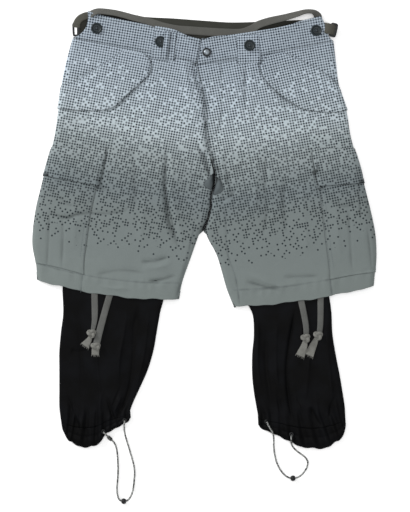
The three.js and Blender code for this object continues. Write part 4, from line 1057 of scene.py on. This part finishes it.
def leg_height(side, x, y):
    """The height of a leg's outer face: level, higher over the liner and on the turned-up hem, with its
    creases and seams, and rounding over like a quarter circle to the back panel at the sides."""
    table, sign = LEG[side], SIGN[side]
    above = above_hem(side, x, y)
    liner_out, liner_in = (edge_x(LINER[side], edge, -100) for edge in ("out", "in"))
    inside = np.minimum(sign * (liner_out - x), sign * (x - liner_in))
    lift = 1.7 * (1 - ease(above, 15, 70)) * ease(inside, -22, 4)
    hem = 0.8 * (1 - ease(above, HEM_DEPTH - 2, HEM_DEPTH + 2))
    pucker = 0.35 * np.sin(x / 3.1 + 1.3 * np.sin(x / 17)) * np.exp(-((above - HEM_DEPTH + 6) / 9) ** 2)
    seams = -0.6 * groove(STITCHED[side], x, y, 2)
    level = (FRONT_FACE + lift + hem + pucker + seams + 1.5 * crease_height(LEG_CREASES[side], x, y)
             + crease_height(EDGE_MARKS[side], x, y, 0) + rumple(x, y, 46, 0.6, 1)
             + rumple(x, y, 17, 0.2, 2))
    beside_fly = x - fly_edge(y)
    lap = {"right": -2.6 * ease(beside_fly, -8, -1), "left": np.exp(-(beside_fly / 7) ** 2)}[side]
    below = 1 - ease(y, 82, 114)
    outer = dome(sign * (edge_x(table, "out", y) - x), 11)
    inner = 1 + (dome(sign * (x - edge_x(table, "in", y)), 11) - 1) * below
    return 2.2 + (level - 2.2) * np.minimum(outer, inner) + lap * ease(y, 118, 160)


def fly_edge(y):
    """The x of the left front's folded edge, which leans to the right towards the waist."""
    return edge_x(LEG["left"], "in", y) - 2.5 - 10 * ease(np.asarray(y, float), 212, 300)


def lapped(side, x, y, t):
    """Widens both fronts at the fly, above the crotch: the left one over, the right one under it."""
    above = ease(y, 118, 170)
    move = fly_edge(y) - edge_x(LEG["left"], "in", y)
    if side == "right":
        move = fly_edge(y) + 7 - edge_x(LEG["right"], "in", y)
    return x + move * above * np.clip((t - 0.7) / 0.3, 0, 1)


for side in SIDES:
    last = len(LEG[side]) - 1
    row, t = on_grid(np.linspace(0, last, 206), side_shares(LEG_ACROSS, 134))
    x, y = across(LEG[side], row, t)
    in_from_sides = LEG_ACROSS * np.minimum(t, 1 - t)
    uneven = 0.9 * np.sin(x / 13 + 2) + 0.6 * np.sin(x / 5.3)
    y = y + uneven * ease(row, last - 1.3, last) * ease(in_from_sides, 9, 30)
    x = lapped(side, x, y, t)
    points = xyz(x, y, leg_height(side, x, y))
    hem_radius = 0.3 + 0.6 * ease(in_from_sides[0], 0, 8)
    points = turn_under(points, "last", hem_radius[:, None], 14)
    edges = {"right": "", "left": "right"}[side]
    if side == "left":
        fold_radius = 0.12 + 0.78 * ease(points[:, -1, 1], 100, 130)
        points = turn_under(points, "right", fold_radius[:, None], 3)
    x, y = points[..., 0], points[..., 1]
    # Painted shade: a dark wavy line down the slit between the legs, a dark line on the right front beside
    # the left front's folded fly edge, dark bottoms of the creases and pressed edge marks, darker seam
    # grooves and a dark rim along the fly's fold.
    seat = seat_seam(y) + 0.8 * np.sin(y / 5.3) + 0.6 * np.sin(y / 2.9 + 1)
    inner = 2.4 * np.exp(-((x - seat) / 1.7) ** 2) * ease(y, -12, -2) * ease(-y, -112, -90)
    if side == "right":
        deep = 0.7 + 0.8 * ease(y, 262, 290) + 0.9 * np.exp(-((y - 184) / 9) ** 2)
        inner += deep * np.exp(-((x - fly_edge(y) + 1) / 2) ** 2) * ease(y, 120, 150)
    shade = (fold_shade(LEG_CREASES[side] + EDGE_MARKS[side], points)
             + groove(STITCHED[side], x, y, 1.6) * (0.4 + rumple(x, y, 9, 0.35, 3)) + inner
             + 0.6 * rim_shade(points, edges, 5))
    add_printed(f"front_panel_{side}", points, 11 * SIGN[side],
                thickness=FRONT_COTTON, shade=shade)


# ---- Fly shield and crotch gussets
# A strip of the printed cotton behind the fly. At the crotch a gusset of plain grey cotton is let in
# between the legs, and a rounded lobe of it shows on each side.
GUSSET = {
    "right": [(98, 3), (92, 8), (86, 15), (80, 18), (75, 14), (71, 5)],
    "left": [(92, 3), (87, 9), (79, 13), (71, 17), (65, 14), (61, 4)],
}


def on_leg(side, x, y, off):
    """Points off a leg's outer face by a distance along its normal, level at the outer edge."""
    step = 0.25
    sign = SIGN[side]
    rim = edge_x(LEG[side], "out", y)
    x = np.where(sign * (rim - x) < 0.3, rim, x)
    slope_x = (leg_height(side, x - step, y) - leg_height(side, x + step, y)) / (2 * step)
    slope_y = (leg_height(side, x, y - step) - leg_height(side, x, y + step)) / (2 * step)
    normal = np.stack([slope_x, slope_y, np.ones_like(slope_x)], axis=-1)
    normal /= np.linalg.norm(normal, axis=-1)[..., None]
    at_rim = (sign * (rim - x) < 0.3)[..., None]
    normal = np.where(at_rim, np.array([sign, 0.0, 0.0]), normal)
    return xyz(x, y, leg_height(side, x, y)) + np.asarray(off)[..., None] * normal


def plain_cotton():
    """The same cotton unprinted, mid grey."""
    f = Finish("plain_grey_cotton", Roughness=0.9, Specular_IOR_Level=0.15)
    weave = f.noise(f.in_space(), 1300)
    wash = f.noise(f.in_space(), 40, 3.0)
    cloth = f.mix(wash, rgb(76, 83, 86), rgb(92, 99, 101))
    # Painted shade: the fold_shade attribute mixes the grey towards near black.
    return f.done(f.mix(f.fold() * 0.8, cloth, rgb(16, 18, 20)), weave, 0.2)


y, t = on_grid(np.linspace(292, 150, 60), np.linspace(-18, 18, 20))
points = np.stack([edge_x(LEG["left"], "in", y) - 4 + t, y, np.full_like(y, 4.7)], axis=-1)
add_printed("fly_shield", points, 0, (40, 9))

plain = plain_cotton()
for side in SIDES:
    row, t = on_grid(np.linspace(0, 5, 40), np.linspace(0, 1, 30))
    y, reach = np.moveaxis(smooth(GUSSET[side], row), -1, 0)
    inner = edge_x(LEG[side], "in", y)
    x = inner + SIGN[side] * t * reach
    swell = 1.1 * np.sin(np.pi * t) * np.sin(np.pi * row / 5)
    z = leg_height(side, x, y) + 0.9 + swell - 0.5 * np.sin(5 * t + row)
    points = turn_under(xyz(x, y, z), "right", 0.6, 1.5)
    # Painted shade: near black down the slit between the two lobes, and darker round their edges.
    beside = points[..., 0] - edge_x(LEG[side], "in", points[..., 1])
    hollow = np.exp(-(beside / (2.2 + 3 * ease(points[..., 1], 78, 92))) ** 2)
    add_cloth(f"crotch_gusset_{side}_cloth", points, grain(points, 0), plain,
              [f"crotch_gusset_{side}"], 0.8,
              1.3 * hollow + 0.7 * rim_shade(points, "right", 2.6))


# ---- Cargo pockets
# A bellows pocket of the printed cotton on each thigh, sewn down along its front edge and reaching to the
# side seam, and a flap of doubled cloth sewn above it.
CARGO_LIFT = 2.6
FLAP_TOP = {"right": 147, "left": 145}
FLAP_BOTTOM = {"right": 78, "left": 77}
FLAP_DROP = {"right": 17, "left": 5}
POCKET_TOP = {"right": 133, "left": 131}
POCKET_BOTTOM = {"right": -60, "left": -76}
POCKET_DROP = {"right": 20, "left": 13}
CARGO_FRONT = {"right": [(150, -179), (78, -194), (22, -206), (-60, -217)],
               "left": [(150, 196), (77, 206), (-10, 216), (-76, 225)]}
POCKET_CREASES = {
    "right": [
        ([(-278, 26), (-281, -20), (-284, -76)], 3, -0.9, 1.4),
        ([(-255, 26), (-255, -20), (-258, -80)], 3, -0.9, 1.4),
        ([(-284, 30), (-249, 19), (-224, 25), (-196, 26)], 4, -1.4, 1.4),
        ([(-240, 60), (-232, 20), (-236, -40)], 8, 0.7, 1.3),
        ([(-262, 60), (-246, 44), (-220, 40)], 6, -0.8, 1.3),
    ],
    "left": [
        ([(258, 40), (262, -20), (266, -80)], 3, -0.9, 1.4),
        ([(276, 90), (280, 50), (281, 10)], 3, -0.9, 1.4),
        ([(292, 10), (298, -40), (301, -80)], 3, -0.8, 1.4),
        ([(236, 60), (240, 0), (246, -60)], 8, 0.7, 1.3),
        ([(224, 50), (250, 40), (276, 46)], 6, -0.8, 1.3),
    ],
}


def cargo_front(side, y):
    """The x of a cargo pocket's front edge at y."""
    line = drawn(CARGO_FRONT[side], 300)
    return np.interp(-np.asarray(y, float), -line[:, 0], line[:, 1])


def cargo_off(side, y, t):
    """How far a cargo pocket stands off the leg: it rises from its sewn edges to its middle."""
    down = ease(POCKET_TOP[side] - y, 0, 30) * ease(y - POCKET_BOTTOM[side], 0, 70)
    return 0.9 + CARGO_LIFT * down * (ease(t, 0, 0.3) * (1 - 0.7 * ease(t, 0.75, 1)))


to_side = 1 - np.linspace(1, 0, 60) ** 1.7
for side in SIDES:
    s, t = on_grid(np.linspace(0, 1, 120), to_side)
    bottom = POCKET_BOTTOM[side] - 3 - POCKET_DROP[side] * (1 - t) ** 1.3
    y = POCKET_TOP[side] + (bottom - POCKET_TOP[side]) * s
    x = cargo_front(side, y)
    x = x + (edge_x(LEG[side], "out", y) - x) * t
    creases = crease_height(POCKET_CREASES[side], x, y) * (1 - ease(t, 0.93, 0.99))
    points = turn_under(on_leg(side, x, y, cargo_off(side, y, t) + creases), "left", 0.45, 2)
    # Painted shade in the pocket's creases and along its sewn front edge.
    add_printed(f"cargo_pocket_{side}", points, 12 * SIGN[side], (3, 2), 0.5,
                fold_shade(POCKET_CREASES[side], points) + 0.8 * rim_shade(points, "left", 2.9))

    v, t = on_grid(np.linspace(0, 1, 60), to_side)
    y = FLAP_TOP[side] + (FLAP_BOTTOM[side] + FLAP_DROP[side] * t - FLAP_TOP[side]) * v
    front = cargo_front(side, y) - 2.5 * SIGN[side]
    x = front + (edge_x(LEG[side], "out", y) - front) * t
    clear = cargo_off(side, np.minimum(y, POCKET_TOP[side]), np.maximum(t, 0.15)) + 2.2 - ease(t, 0.85, 1)
    corner = 0.3 * np.exp(-((1 - v) / 0.12) ** 2) * np.exp(-(t / 0.12) ** 2)
    wave = 0.35 * np.sin(9 * t + 1) * v + rumple(x, y, 22, 0.25, 7)
    off = 1.2 + (clear - 1.2) * ease(v, 0, 0.2) + (corner + wave) * (1 - ease(t, 0.9, 0.98))
    radius = 0.9 - 0.75 * ease(to_side, 0.8, 1)
    points = turn_under(on_leg(side, x, y, off), "last", radius[:, None], 6)
    points = turn_under(points, "left", 0.9, 6)
    x, y = points[..., 0], points[..., 1]
    # Painted shade along the flap's edges: its front edge, its sewn top and its bottom edge, which is darker
    # towards the side seam.
    shade = ((0.4 + 0.5 * ease(y, 84, 100)) * rim_shade(points, "left", 7.9, 1)
             + 0.5 * rim_shade(points, "first", 0)
             + (0.1 + 0.9 * ease(x * SIGN[side], 235, 265)) * rim_shade(points, "last", 7.9, 1))
    add_printed(f"cargo_flap_{side}", points, 12 * SIGN[side], (1, 4),
                FRONT_COTTON, shade)


# ---- Hip pocket flaps
# A slanting flap of doubled printed cotton over each hip pocket, sewn along its upper edge from the side
# seam to the waistband, its curved lower edge free.
HIP_FLAP = {
    "right": [(-257, 258, -264, 217), (-232, 265, -226, 213), (-213, 277, -190, 213), (-199, 287, -164, 220),
              (-186, 295, -134, 248), (-173, 303, -111, 266), (-161, 311, -100, 282), (-153, 316, -99, 300),
              (-148, 321, -110, 314)],
    "left": [(243, 254, 256, 214), (234, 264, 236, 210), (224, 275, 206, 211), (210, 285, 177, 216),
             (196, 293, 149, 234), (181, 300, 122, 256), (166, 307, 106, 275), (152, 313, 103, 295),
             (143, 317, 113, 311)],
}
HIP_GRAIN = {"right": -12, "left": 14}
for side in SIDES:
    row, t = on_grid(8 * np.linspace(0, 1, 110) ** 1.2, np.linspace(0, 1, 50))
    sewn_x, sewn_y, free_x, free_y = np.moveaxis(smooth(HIP_FLAP[side], row), -1, 0)
    y = sewn_y + (free_y - sewn_y) * t
    x = np.where(row == 0, edge_x(LEG[side], "out", y), sewn_x + (free_x - sewn_x) * t)
    rim = SIGN[side] * (edge_x(LEG[side], "out", y) - x)
    x = np.where(rim < 0, edge_x(LEG[side], "out", y), x)
    seam = -0.6 * np.exp(-((t - 0.03) / 0.02) ** 2)
    wave = (0.5 * np.sin(1.9 * row + 0.5) * t ** 2 + rumple(x, y, 25, 0.3, 9)) * ease(rim, 4, 12)
    off = 1.0 + (0.8 + 1.6 * ease(row, 1.5, 3.5)) * t + seam + wave
    points = turn_under(on_leg(side, x, y, off), "right", 0.9, 6)
    # Painted shade along the free lower edge and along the sewn upper edge.
    add_printed(f"hip_flap_{side}", points, HIP_GRAIN[side], (2, 1), FRONT_COTTON,
                rim_shade(points, "right", 7.9) + 0.6 * rim_shade(points, "left", 0))


# ---- Back waistband and the tape along it
# The back half of the waistband lies under the front one. Its outside is the printed cotton, and its
# inside, a plain olive-grey twill, shows above the front. A soft tape runs along it and lifts off in a bow
# near the wearer's left side.
BACK_BAND_TOP = [(-230, 374), (-206, 386), (-176, 388), (-146, 384), (-94, 380), (-53, 378), (0, 374),
                 (46, 371), (93, 372), (145, 374), (179, 375), (212, 370)]
WAIST_TAPE_WIDE = 15
WAIST_TAPE_THICK = 1.4
WAIST_TAPE = [
    (-206, 385, 7, -30), (-192, 391, 8.2, -38), (-167, 389, 8.2, -38), (-148, 385, 8.2, -38),
    (-128, 379.5, 8, -36), (-99, 372.5, 7.2, -28), (-74, 364, 5.2, -10), (-50, 359, 4.3, 0),
    (-24, 357, 4.3, 0), (2, 355, 4.3, 0), (40, 353, 4.3, 0), (66, 353, 4.3, 0), (84, 359, 4.6, -6),
    (98, 367.5, 5.6, -16), (118, 374, 6, -20), (144, 380, 6.6, -30), (166, 386, 7.4, -42),
    (182, 390.5, 8, -52), (195, 390, 7.4, -48), (203, 384, 5, -14), (205, 377, 4.2, 0),
]
# The top edges of the front waistband's halves.
BAND_TOP = {
    "right": [(-210, 390), (-192, 384), (-148, 374.5), (-102, 365.5), (-58, 357.5), (-32, 346), (-7, 338)],
    "left": [(210, 381), (177, 373), (140, 362), (94, 354), (53, 348), (17, 344), (-4, 338)],
}


def facing_twill():
    """Olive-grey twill: fine slanting ribs."""
    f = Finish("olive_grey_twill", Roughness=0.9, Specular_IOR_Level=0.15)
    u, v, _ = f.split(f.on_cloth())
    rib = (u + v).wave(1.0) * 0.5 + 0.5
    worn = f.noise(f.in_space(), 30, 3.0)
    cloth = f.mix(worn, rgb(50, 51, 46), rgb(66, 66, 61))
    # Painted shade: the fold_shade attribute mixes the twill towards near black.
    return f.done(f.mix(f.fold() * 0.75, cloth, rgb(14, 14, 12)), rib, 0.2)


facing = facing_twill()
row, t = on_grid(np.linspace(0, 11, 170), np.linspace(0, 1, 24))
top = smooth(BACK_BAND_TOP, row)
bottom = 324.8 + 7.2 * np.abs(top[..., 0]) / 240
x, y = top[..., 0], bottom + (top[..., 1] - bottom) * t
z = 2.9 + 0.25 * np.sin(x / 19) * t - 0.35 * np.exp(-((t - 0.93) / 0.02) ** 2)
points = turn_under(xyz(x, y, z), "right", 0.9, 6)
# Painted shadow: the facing is darker along the top edge of the front waistband, which shades it.
over_front = groove([BAND_TOP["right"], BAND_TOP["left"]], points[..., 0], points[..., 1], 7)
add_cloth("waistband_back_cloth", points, grain(points, 2), facing, ["waistband_back"],
          thickness=0.9, shade=over_front)

outer = np.stack([x, y - 1.2 * t, np.full_like(x, 1.7)], axis=-1)[::2, ::2]
add_cloth("waistband_back_outer_cloth", outer, grain(outer, 2), cotton, [],
          thickness=BACK_COTTON)

tape_finish = twill_tape("taupe_twill_tape", rgb(98, 98, 94), rgb(74, 74, 71), 1.4)
rows = drawn(WAIST_TAPE, 260)
section = flat_profile(WAIST_TAPE_WIDE, WAIST_TAPE_THICK, 0.25)
points, cover = swept(rows[:, :3], *section, rows[:, 3])
solid_piece("waist_tape_twill", points, tape_finish, ["waist_tape"], cover)


# ---- Front waistband
# Two layers of the printed cotton, 45 mm deep, sewn to the leg panels and folded at the top. The left half
# laps over the right one at the fly.
BAND_FACE = 9.2
BAND_LONG = 240
BAND_END = {
    "right": [(-238, 343), (-227, 347), (-219, 354), (-213, 363), (-210, 376), (-210, 390)],
    "left": [(232, 336), (225, 343), (221, 351), (219, 362), (214, 373), (210, 381)],
}


def band_plan(side, t, v):
    """x and y of a front waistband: t from its outer end to the fly and v from the seam to the top,
    straight in between; the outer end follows its own outline, which fades as the eighth power of 1 - t."""
    seam_x, seam_y = across(LEG[side], np.zeros_like(t), t)
    top = smooth(BAND_TOP[side], 6 * t)
    end = smooth(BAND_END[side], 5 * v)
    first, last = np.array(BAND_END[side][0]), np.array(BAND_END[side][-1])
    pull = ((1 - t) ** 8)[..., None] * (end - first - (last - first) * v[..., None])
    x = seam_x + (top[..., 0] - seam_x) * v + pull[..., 0]
    y = seam_y + 0.6 + (top[..., 1] - seam_y) * v + pull[..., 1]
    shift = np.clip((t - 0.85) / 0.15, 0, 1)
    lap = {"left": -9 + 8 * v, "right": 8.0}[side]
    return x + shift * lap, y


def band_height(side, x, y, t, v):
    """The height of a front waistband's face: a small step up from the seam, rounded over at the side."""
    level = BAND_FACE - 1.1 + 1.1 * ease(v, 0, 0.14) - 0.35 * np.exp(-((v - 0.1) / 0.02) ** 2)
    under = 1.4 * ease(x, -22, -8) * (side == "right")
    waves = rumple(x, y, 30, 0.4, 11) + rumple(x, y, 11, 0.12, 12)
    return 7.6 + (level + waves - 7.6) * dome(t * BAND_LONG, 9) - under


for side in SIDES:
    v, t = on_grid(np.linspace(1, -0.05, 40), np.linspace(0, 1, 170) ** 1.1)
    x, y = band_plan(side, t, v)
    points = xyz(x, y, band_height(side, x, y, t, v))
    points = turn_under(points, "first", 1.0, 12)
    points = turn_under(points, "right", 0.9, 5) if side == "left" else points
    # Painted shade: along the left half's fly edge, along the seam at the bottom, in a dark line on the
    # right half beside the left half's edge, and 0.07 more over the whole band, which paints it a little
    # darker than the same cotton elsewhere.
    ends = 0.9 * rim_shade(points, "right", 6.9) * (side == "left") + 0.3 * rim_shade(points, "last", 2)
    over = band_plan("left", np.ones(9), np.linspace(-0.1, 1, 9))
    beside = points[..., 0] - np.interp(points[..., 1], over[1], over[0])
    ends += 1.2 * np.exp(-((beside + 1) / 2) ** 2) * (side == "right")
    add_printed(f"waistband_front_{side}", points, 10 * SIGN[side], (0, 2),
                FRONT_COTTON, ends + 0.07)


# ---- Belt loops
# Two wide flat loops of the printed cotton over the waistband, sewn at the top and below it. The wearer's
# right one is pushed into a fold beside its button.
LOOP = {"right": (-73, 329, -6), "left": (79, 323, 3)}
LOOP_WIDE = 41
LOOP_TALL = 52


def set_at(centre_x, centre_y, degrees, u, v):
    """x and y of a place u across and v up from a centre, once both are turned by an angle."""
    angle = math.radians(degrees)
    x = centre_x + u * math.cos(angle) - v * math.sin(angle)
    return x, centre_y + u * math.sin(angle) + v * math.cos(angle)


for side in SIDES:
    tilt = LOOP[side][2]
    v, u = on_grid(np.linspace(0.5, -0.5, 40), np.linspace(-0.5, 0.5, 44))
    du, dv = u * (LOOP_WIDE - 2), v * (LOOP_TALL - 2)
    x, y = set_at(*LOOP[side], du, dv)
    sewn = ease(np.abs(v), 0.5, 0.42)
    z = 9.6 + 0.7 * sewn + rumple(x, y, 14, 0.2, 13) - 1.2 * ease(-v, 0.3, 0.5)
    # Painted shade: dark lines on both sides of the right loop's fold, and darker round the loops' edges.
    fold = np.zeros_like(z)
    if side == "right":
        start = -0.5 + 2 * v
        hump = ease(du, start - 1.4, start) * (1 - ease(du, start + 6, start + 12))
        z += 4.9 * hump * (1 - 0.6 * ease(-v, 0.1, 0.5))
        fold = 0.9 * np.exp(-((du - start + 1.2) / 1.1) ** 2)
        fold += 0.7 * np.exp(-((du - start - 10) / 1.5) ** 2)
    points = turn_under(xyz(x, y, z), "left right", 0.8, 4)
    points = turn_under(points, "first last", 0.8, 4)
    rims = 0.8 * rim_shade(points, "left right", 5.7) + 0.3 * rim_shade(points, "last", 5.7)
    add_printed(f"belt_loop_{side}", points, tilt, (1, 3), 0.8,
                np.maximum(np.pad(fold, 7), rims))


# ---- Side adjusters
# A short strap of olive webbing, sewn into each end of the waistband, that runs through a moulded black
# slide buckle at the side seam.
STRAP = {
    "right": [(-200, 384, 4.2), (-208, 384, 6.4), (-216, 382, 8.4), (-224, 377.5, 9.2), (-229.5, 370, 8.6),
              (-230.5, 362, 6.5)],
    "left": [(204, 364, 4.2), (213, 362, 6.2), (219, 360.6, 8.8), (224, 359.4, 9.4), (229.5, 358.3, 8.2),
             (236, 357, 4.2)],
}
STRAP_WIDE = {"right": 13, "left": 19}
STRAP_THICK = 1.6
BUCKLE = {"right": (-231, 358.5, 6.6, 93), "left": (232, 357.5, 6.9, 77)}
BUCKLE_LONG = 25
BUCKLE_WIDE = 13
strap_finish = twill_tape("olive_webbing", rgb(92, 91, 84), rgb(66, 66, 60), 1.3)
for side in SIDES:
    path = drawn(STRAP[side], 60)
    points, cover = swept(path, *flat_profile(STRAP_WIDE[side], STRAP_THICK, 0.3))
    solid_piece(f"side_strap_{side}_webbing", points, strap_finish, [f"side_strap_{side}"],
                cover)
    centre_x, centre_y, centre_z, turn_by = BUCKLE[side]
    s = once_round(96)
    half_long, half_wide = BUCKLE_LONG / 2 - 1.5, BUCKLE_WIDE / 2 - 1.5
    bar_u = half_long * np.sign(np.cos(s)) * np.abs(np.cos(s)) ** 0.3
    bar_v = half_wide * np.sign(np.sin(s)) * np.abs(np.sin(s)) ** 0.3
    x, y = set_at(centre_x, centre_y, turn_by, bar_u, bar_v)
    path = np.column_stack([x, y, np.full(96, centre_z)])
    around = once_round(12)
    square = [np.sign(f(around)) * np.abs(f(around)) ** 0.6 for f in (np.cos, np.sin)]
    rings, _ = swept(np.vstack([path, path[:1]]), 1.9 * square[0], 1.0 * square[1])
    solid_piece(f"side_buckle_{side}_moulded", rings[1:-2], plastic,
                [f"side_buckle_{side}"], loop=True)


# ---- Waist buttons
# Four 20 mm sew-through buttons of dark slate-blue plastic, with a raised rim, a sunk middle and four
# holes, each sewn on with a cross of dark thread.
BUTTON_AT = [(-194, 360, 9.5), (-79, 336, 10.9), (81, 329, 10.9), (201, 356, 9.5)]
BUTTON_PROFILE = [(0.4, 0), (8.4, 0), (9.4, 0.4), (9.9, 1.2), (10, 1.9), (9.8, 2.6), (9.2, 3.2), (8.4, 3.4),
                  (7.7, 3.2), (7.1, 2.6), (6.4, 2.2), (5, 2.1)]


def button_face():
    """A button turned from its profile, with its middle closed by rings in which four round holes dip,
    each 2.6 mm wide at its smooth rim and 2.5 mm from the centre."""
    rings = np.array(BUTTON_PROFILE + [(r, 2.1) for r in np.linspace(4.75, 0.25, 19)] + [(0.0, 2.1)])
    face = turned(rings, 96).transpose(1, 0, 2)
    for spot in range(4):
        angle = math.pi / 4 + spot * math.pi / 2
        away = np.hypot(face[..., 0] - 2.5 * math.cos(angle), face[..., 1] - 2.5 * math.sin(angle))
        face[..., 2] -= 1.5 * (1 - ease(away, 0.7, 1.3)) * (face[..., 2] > 1.5)
    return face


def button_plastic():
    """Dark slate-blue plastic with faint clouding, half matt."""
    f = Finish("slate_button", Roughness=0.5, Specular_IOR_Level=0.35)
    cloud = f.noise(f.in_space(), 240, 3.0)
    return f.done(f.mix(cloud.between(0.3, 0.7), rgb(6, 18, 22), rgb(14, 30, 36)), cloud, 0.05)


def spun_thread(name, dark, light, **numbers):
    """Spun polyester thread: fine fibres between two close greys."""
    f = Finish(name, **numbers)
    fibre = f.noise(f.in_space(), 3000)
    return f.done(f.mix(fibre, dark, light), fibre, 0.1)


slate = button_plastic()
dark_thread = spun_thread("dark_thread", rgb(50, 57, 63), rgb(76, 84, 90), Roughness=0.8)
circle = once_round(8)
for number, spot in enumerate(BUTTON_AT, start=1):
    turned_piece(f"waist_button_{number}_moulded", button_face(), spot, slate,
                 [f"waist_button_{number}"])
    for which, angle in (("one", math.pi / 4), ("other", 3 * math.pi / 4)):
        s = np.linspace(-1, 1, 25)
        path = np.column_stack([2.6 * s * math.cos(angle), 2.6 * s * math.sin(angle), 2.75 - 1.3 * s ** 6])
        if which == "other":
            path[:, 2] += 0.3
        bar, _ = swept(path, 0.55 * np.cos(circle), 0.4 * np.sin(circle))
        turned_piece(f"button_thread_{number}_{which}", bar, spot, dark_thread)


# ---- Fly snap
# A pressed metal snap at the top of the fly, riveted through the left half of the waistband: a domed cap
# with a rolled rim.
SNAP_AT = (4, 317, 10.0)
SNAP_PROFILE = [(0.4, 0), (7.2, 0), (7.9, 0.4), (8.1, 1.1), (7.9, 1.7), (7.3, 2.0), (6.7, 1.8), (6.3, 1.5),
                (5.8, 1.6), (5.0, 2.4), (4.0, 3.1), (2.8, 3.6), (1.4, 3.9), (0.0, 4.0)]


def snap_metal():
    """Nickel-plated brass, worn a little dull in small spots, bright on the dome and painted dark low down,
    as shade round its rim.
    """
    f = Finish("worn_nickel", Metallic=0.6)
    wear_and_sheen = f.noise(f.in_space(), 500, 3.0)
    _, _, up = f.split(f.in_space())
    # Painted shade: below about 12 mm up, the rim is painted near black.
    low = up.between(0.0129, 0.0118)
    plate = f.mix(wear_and_sheen.between(0.4, 0.7), rgb(150, 158, 165), rgb(98, 106, 112))
    return f.done(f.mix(low, plate, rgb(30, 34, 37)), wear_and_sheen, 0.05, wear_and_sheen.between(0.2, 0.9) * 0.25 + 0.35)


cap = turned(drawn(SNAP_PROFILE, 53), 64).transpose(1, 0, 2)
turned_piece("fly_snap_cap", cap, SNAP_AT, snap_metal(), ["fly_snap"])


# ---- Stitching
# Rows of lockstitch in thread of the cotton's own grey, eight stitches to 32 mm, along the hems, seams,
# fly, cargo pockets and waistband. Each stitch is a short grain of thread sunk a little into the cloth.
def stitches(name, lines, finish, gap=4.0):
    """Along lines of points on the cloth's face, one grain of thread per gap: rings of radius
    0.36 sqrt(1 - s^4) mm at 1.4 s mm along the line, for s from -1 to 1, a third less high than wide."""
    centres, heads = [], []
    for line in lines:
        run = along(line)
        at = np.arange(gap / 2, run[-1], gap)
        centres.append(np.stack([np.interp(at, run, line[:, k]) for k in range(3)], axis=-1))
        heads.append(np.stack([np.interp(at, run, np.gradient(line[:, k])) for k in range(3)], axis=-1))
    centres, heads = np.concatenate(centres), np.concatenate(heads)
    heads /= np.linalg.norm(heads, axis=1)[:, None]
    beside = np.cross((0, 0, 1), heads)
    beside /= np.linalg.norm(beside, axis=1)[:, None]
    s = np.array([-1, -0.75, 0, 0.75, 1])[:, None]
    angle = once_round(6)
    radius = 0.36 * np.sqrt(1 - s ** 4)
    wide, high = radius * np.cos(angle), 0.7 * radius * np.sin(angle)
    points = (centres[:, None, None] + 1.4 * s[..., None] * heads[:, None, None]
              + wide[..., None] * beside[:, None, None] + high[..., None] * np.array([0, 0, 1]))
    one = np.arange(30).reshape(5, 6)
    faces = faces_between(np.hstack([one, one[:, :1]]))
    faces = (faces + one.size * np.arange(len(centres))[:, None, None]).reshape(-1, 4)
    mesh = smooth_mesh(name, points, faces)
    first = mesh.polygons[2]
    if (first.center - Vector(centres[0] * MM)).dot(first.normal) < 0:
        mesh.flip_normals()
    return add_piece(name, mesh, finish)


cotton_thread = spun_thread("grey_thread", rgb(84, 91, 94), rgb(116, 124, 127), Roughness=0.85,
                            Specular_IOR_Level=0.2)
for side in SIDES:
    sewn = []
    for line in STITCHED[side]:
        x, y = smooth(line, np.linspace(0.02, len(line) - 1.02, 120)).T
        sewn.append(on_leg(side, x, y, np.full(120, 0.1)))
    s = np.linspace(0.03, 0.97, 120)
    y = POCKET_TOP[side] - 14 + (POCKET_BOTTOM[side] - POCKET_TOP[side] + 16) * s
    for inside in (2.5, 8.0):
        x = cargo_front(side, y) + SIGN[side] * inside
        t = (x - cargo_front(side, y)) / (edge_x(LEG[side], "out", y) - cargo_front(side, y))
        creases = crease_height(POCKET_CREASES[side], x, y)
        sewn.append(on_leg(side, x, y, cargo_off(side, y, t) + creases + 0.1)[y < FLAP_BOTTOM[side] - 3])
    stitches(f"leg_stitching_{side}", sewn, cotton_thread)

    sewn = []
    for level, first in ((0.05, 0.05), (0.93, 0.02)):
        t = np.linspace(first, 0.98, 200)
        x, y = band_plan(side, t, np.full(200, level))
        sewn.append(xyz(x, y, band_height(side, x, y, t, level) + 0.1))
    stitches(f"waistband_stitching_{side}", sewn, cotton_thread)

# The cut ends of the ties' tails have frayed: single yarns stand out of them, spread like a fan.
for name, tie in TIES.items():
    (from_x, from_y, _), (x, y, wide) = tie["tail"]
    ahead = np.array([x - from_x, y - from_y]) / math.hypot(x - from_x, y - from_y)
    yarns = []
    for number, s in enumerate(np.linspace(-0.5, 0.5, 13)):
        start = np.array([x, y]) + s * wide * np.array([-ahead[1], ahead[0]])
        lean = 0.5 * s + 0.25 * math.sin(5 * number)
        way = ahead + lean * np.array([-ahead[1], ahead[0]])
        reach = 2.5 + 1.2 * math.sin(3 * number + len(name))
        line = start + np.linspace(-0.6, reach, 8)[:, None] * way
        height = liner_top(tie["leg"], line[:, 0], line[:, 1], 3) + 0.8
        yarns.append(np.column_stack([line, height]))
    stitches(f"tie_fringe_{name}_yarn", yarns, tie_end, 2.2)
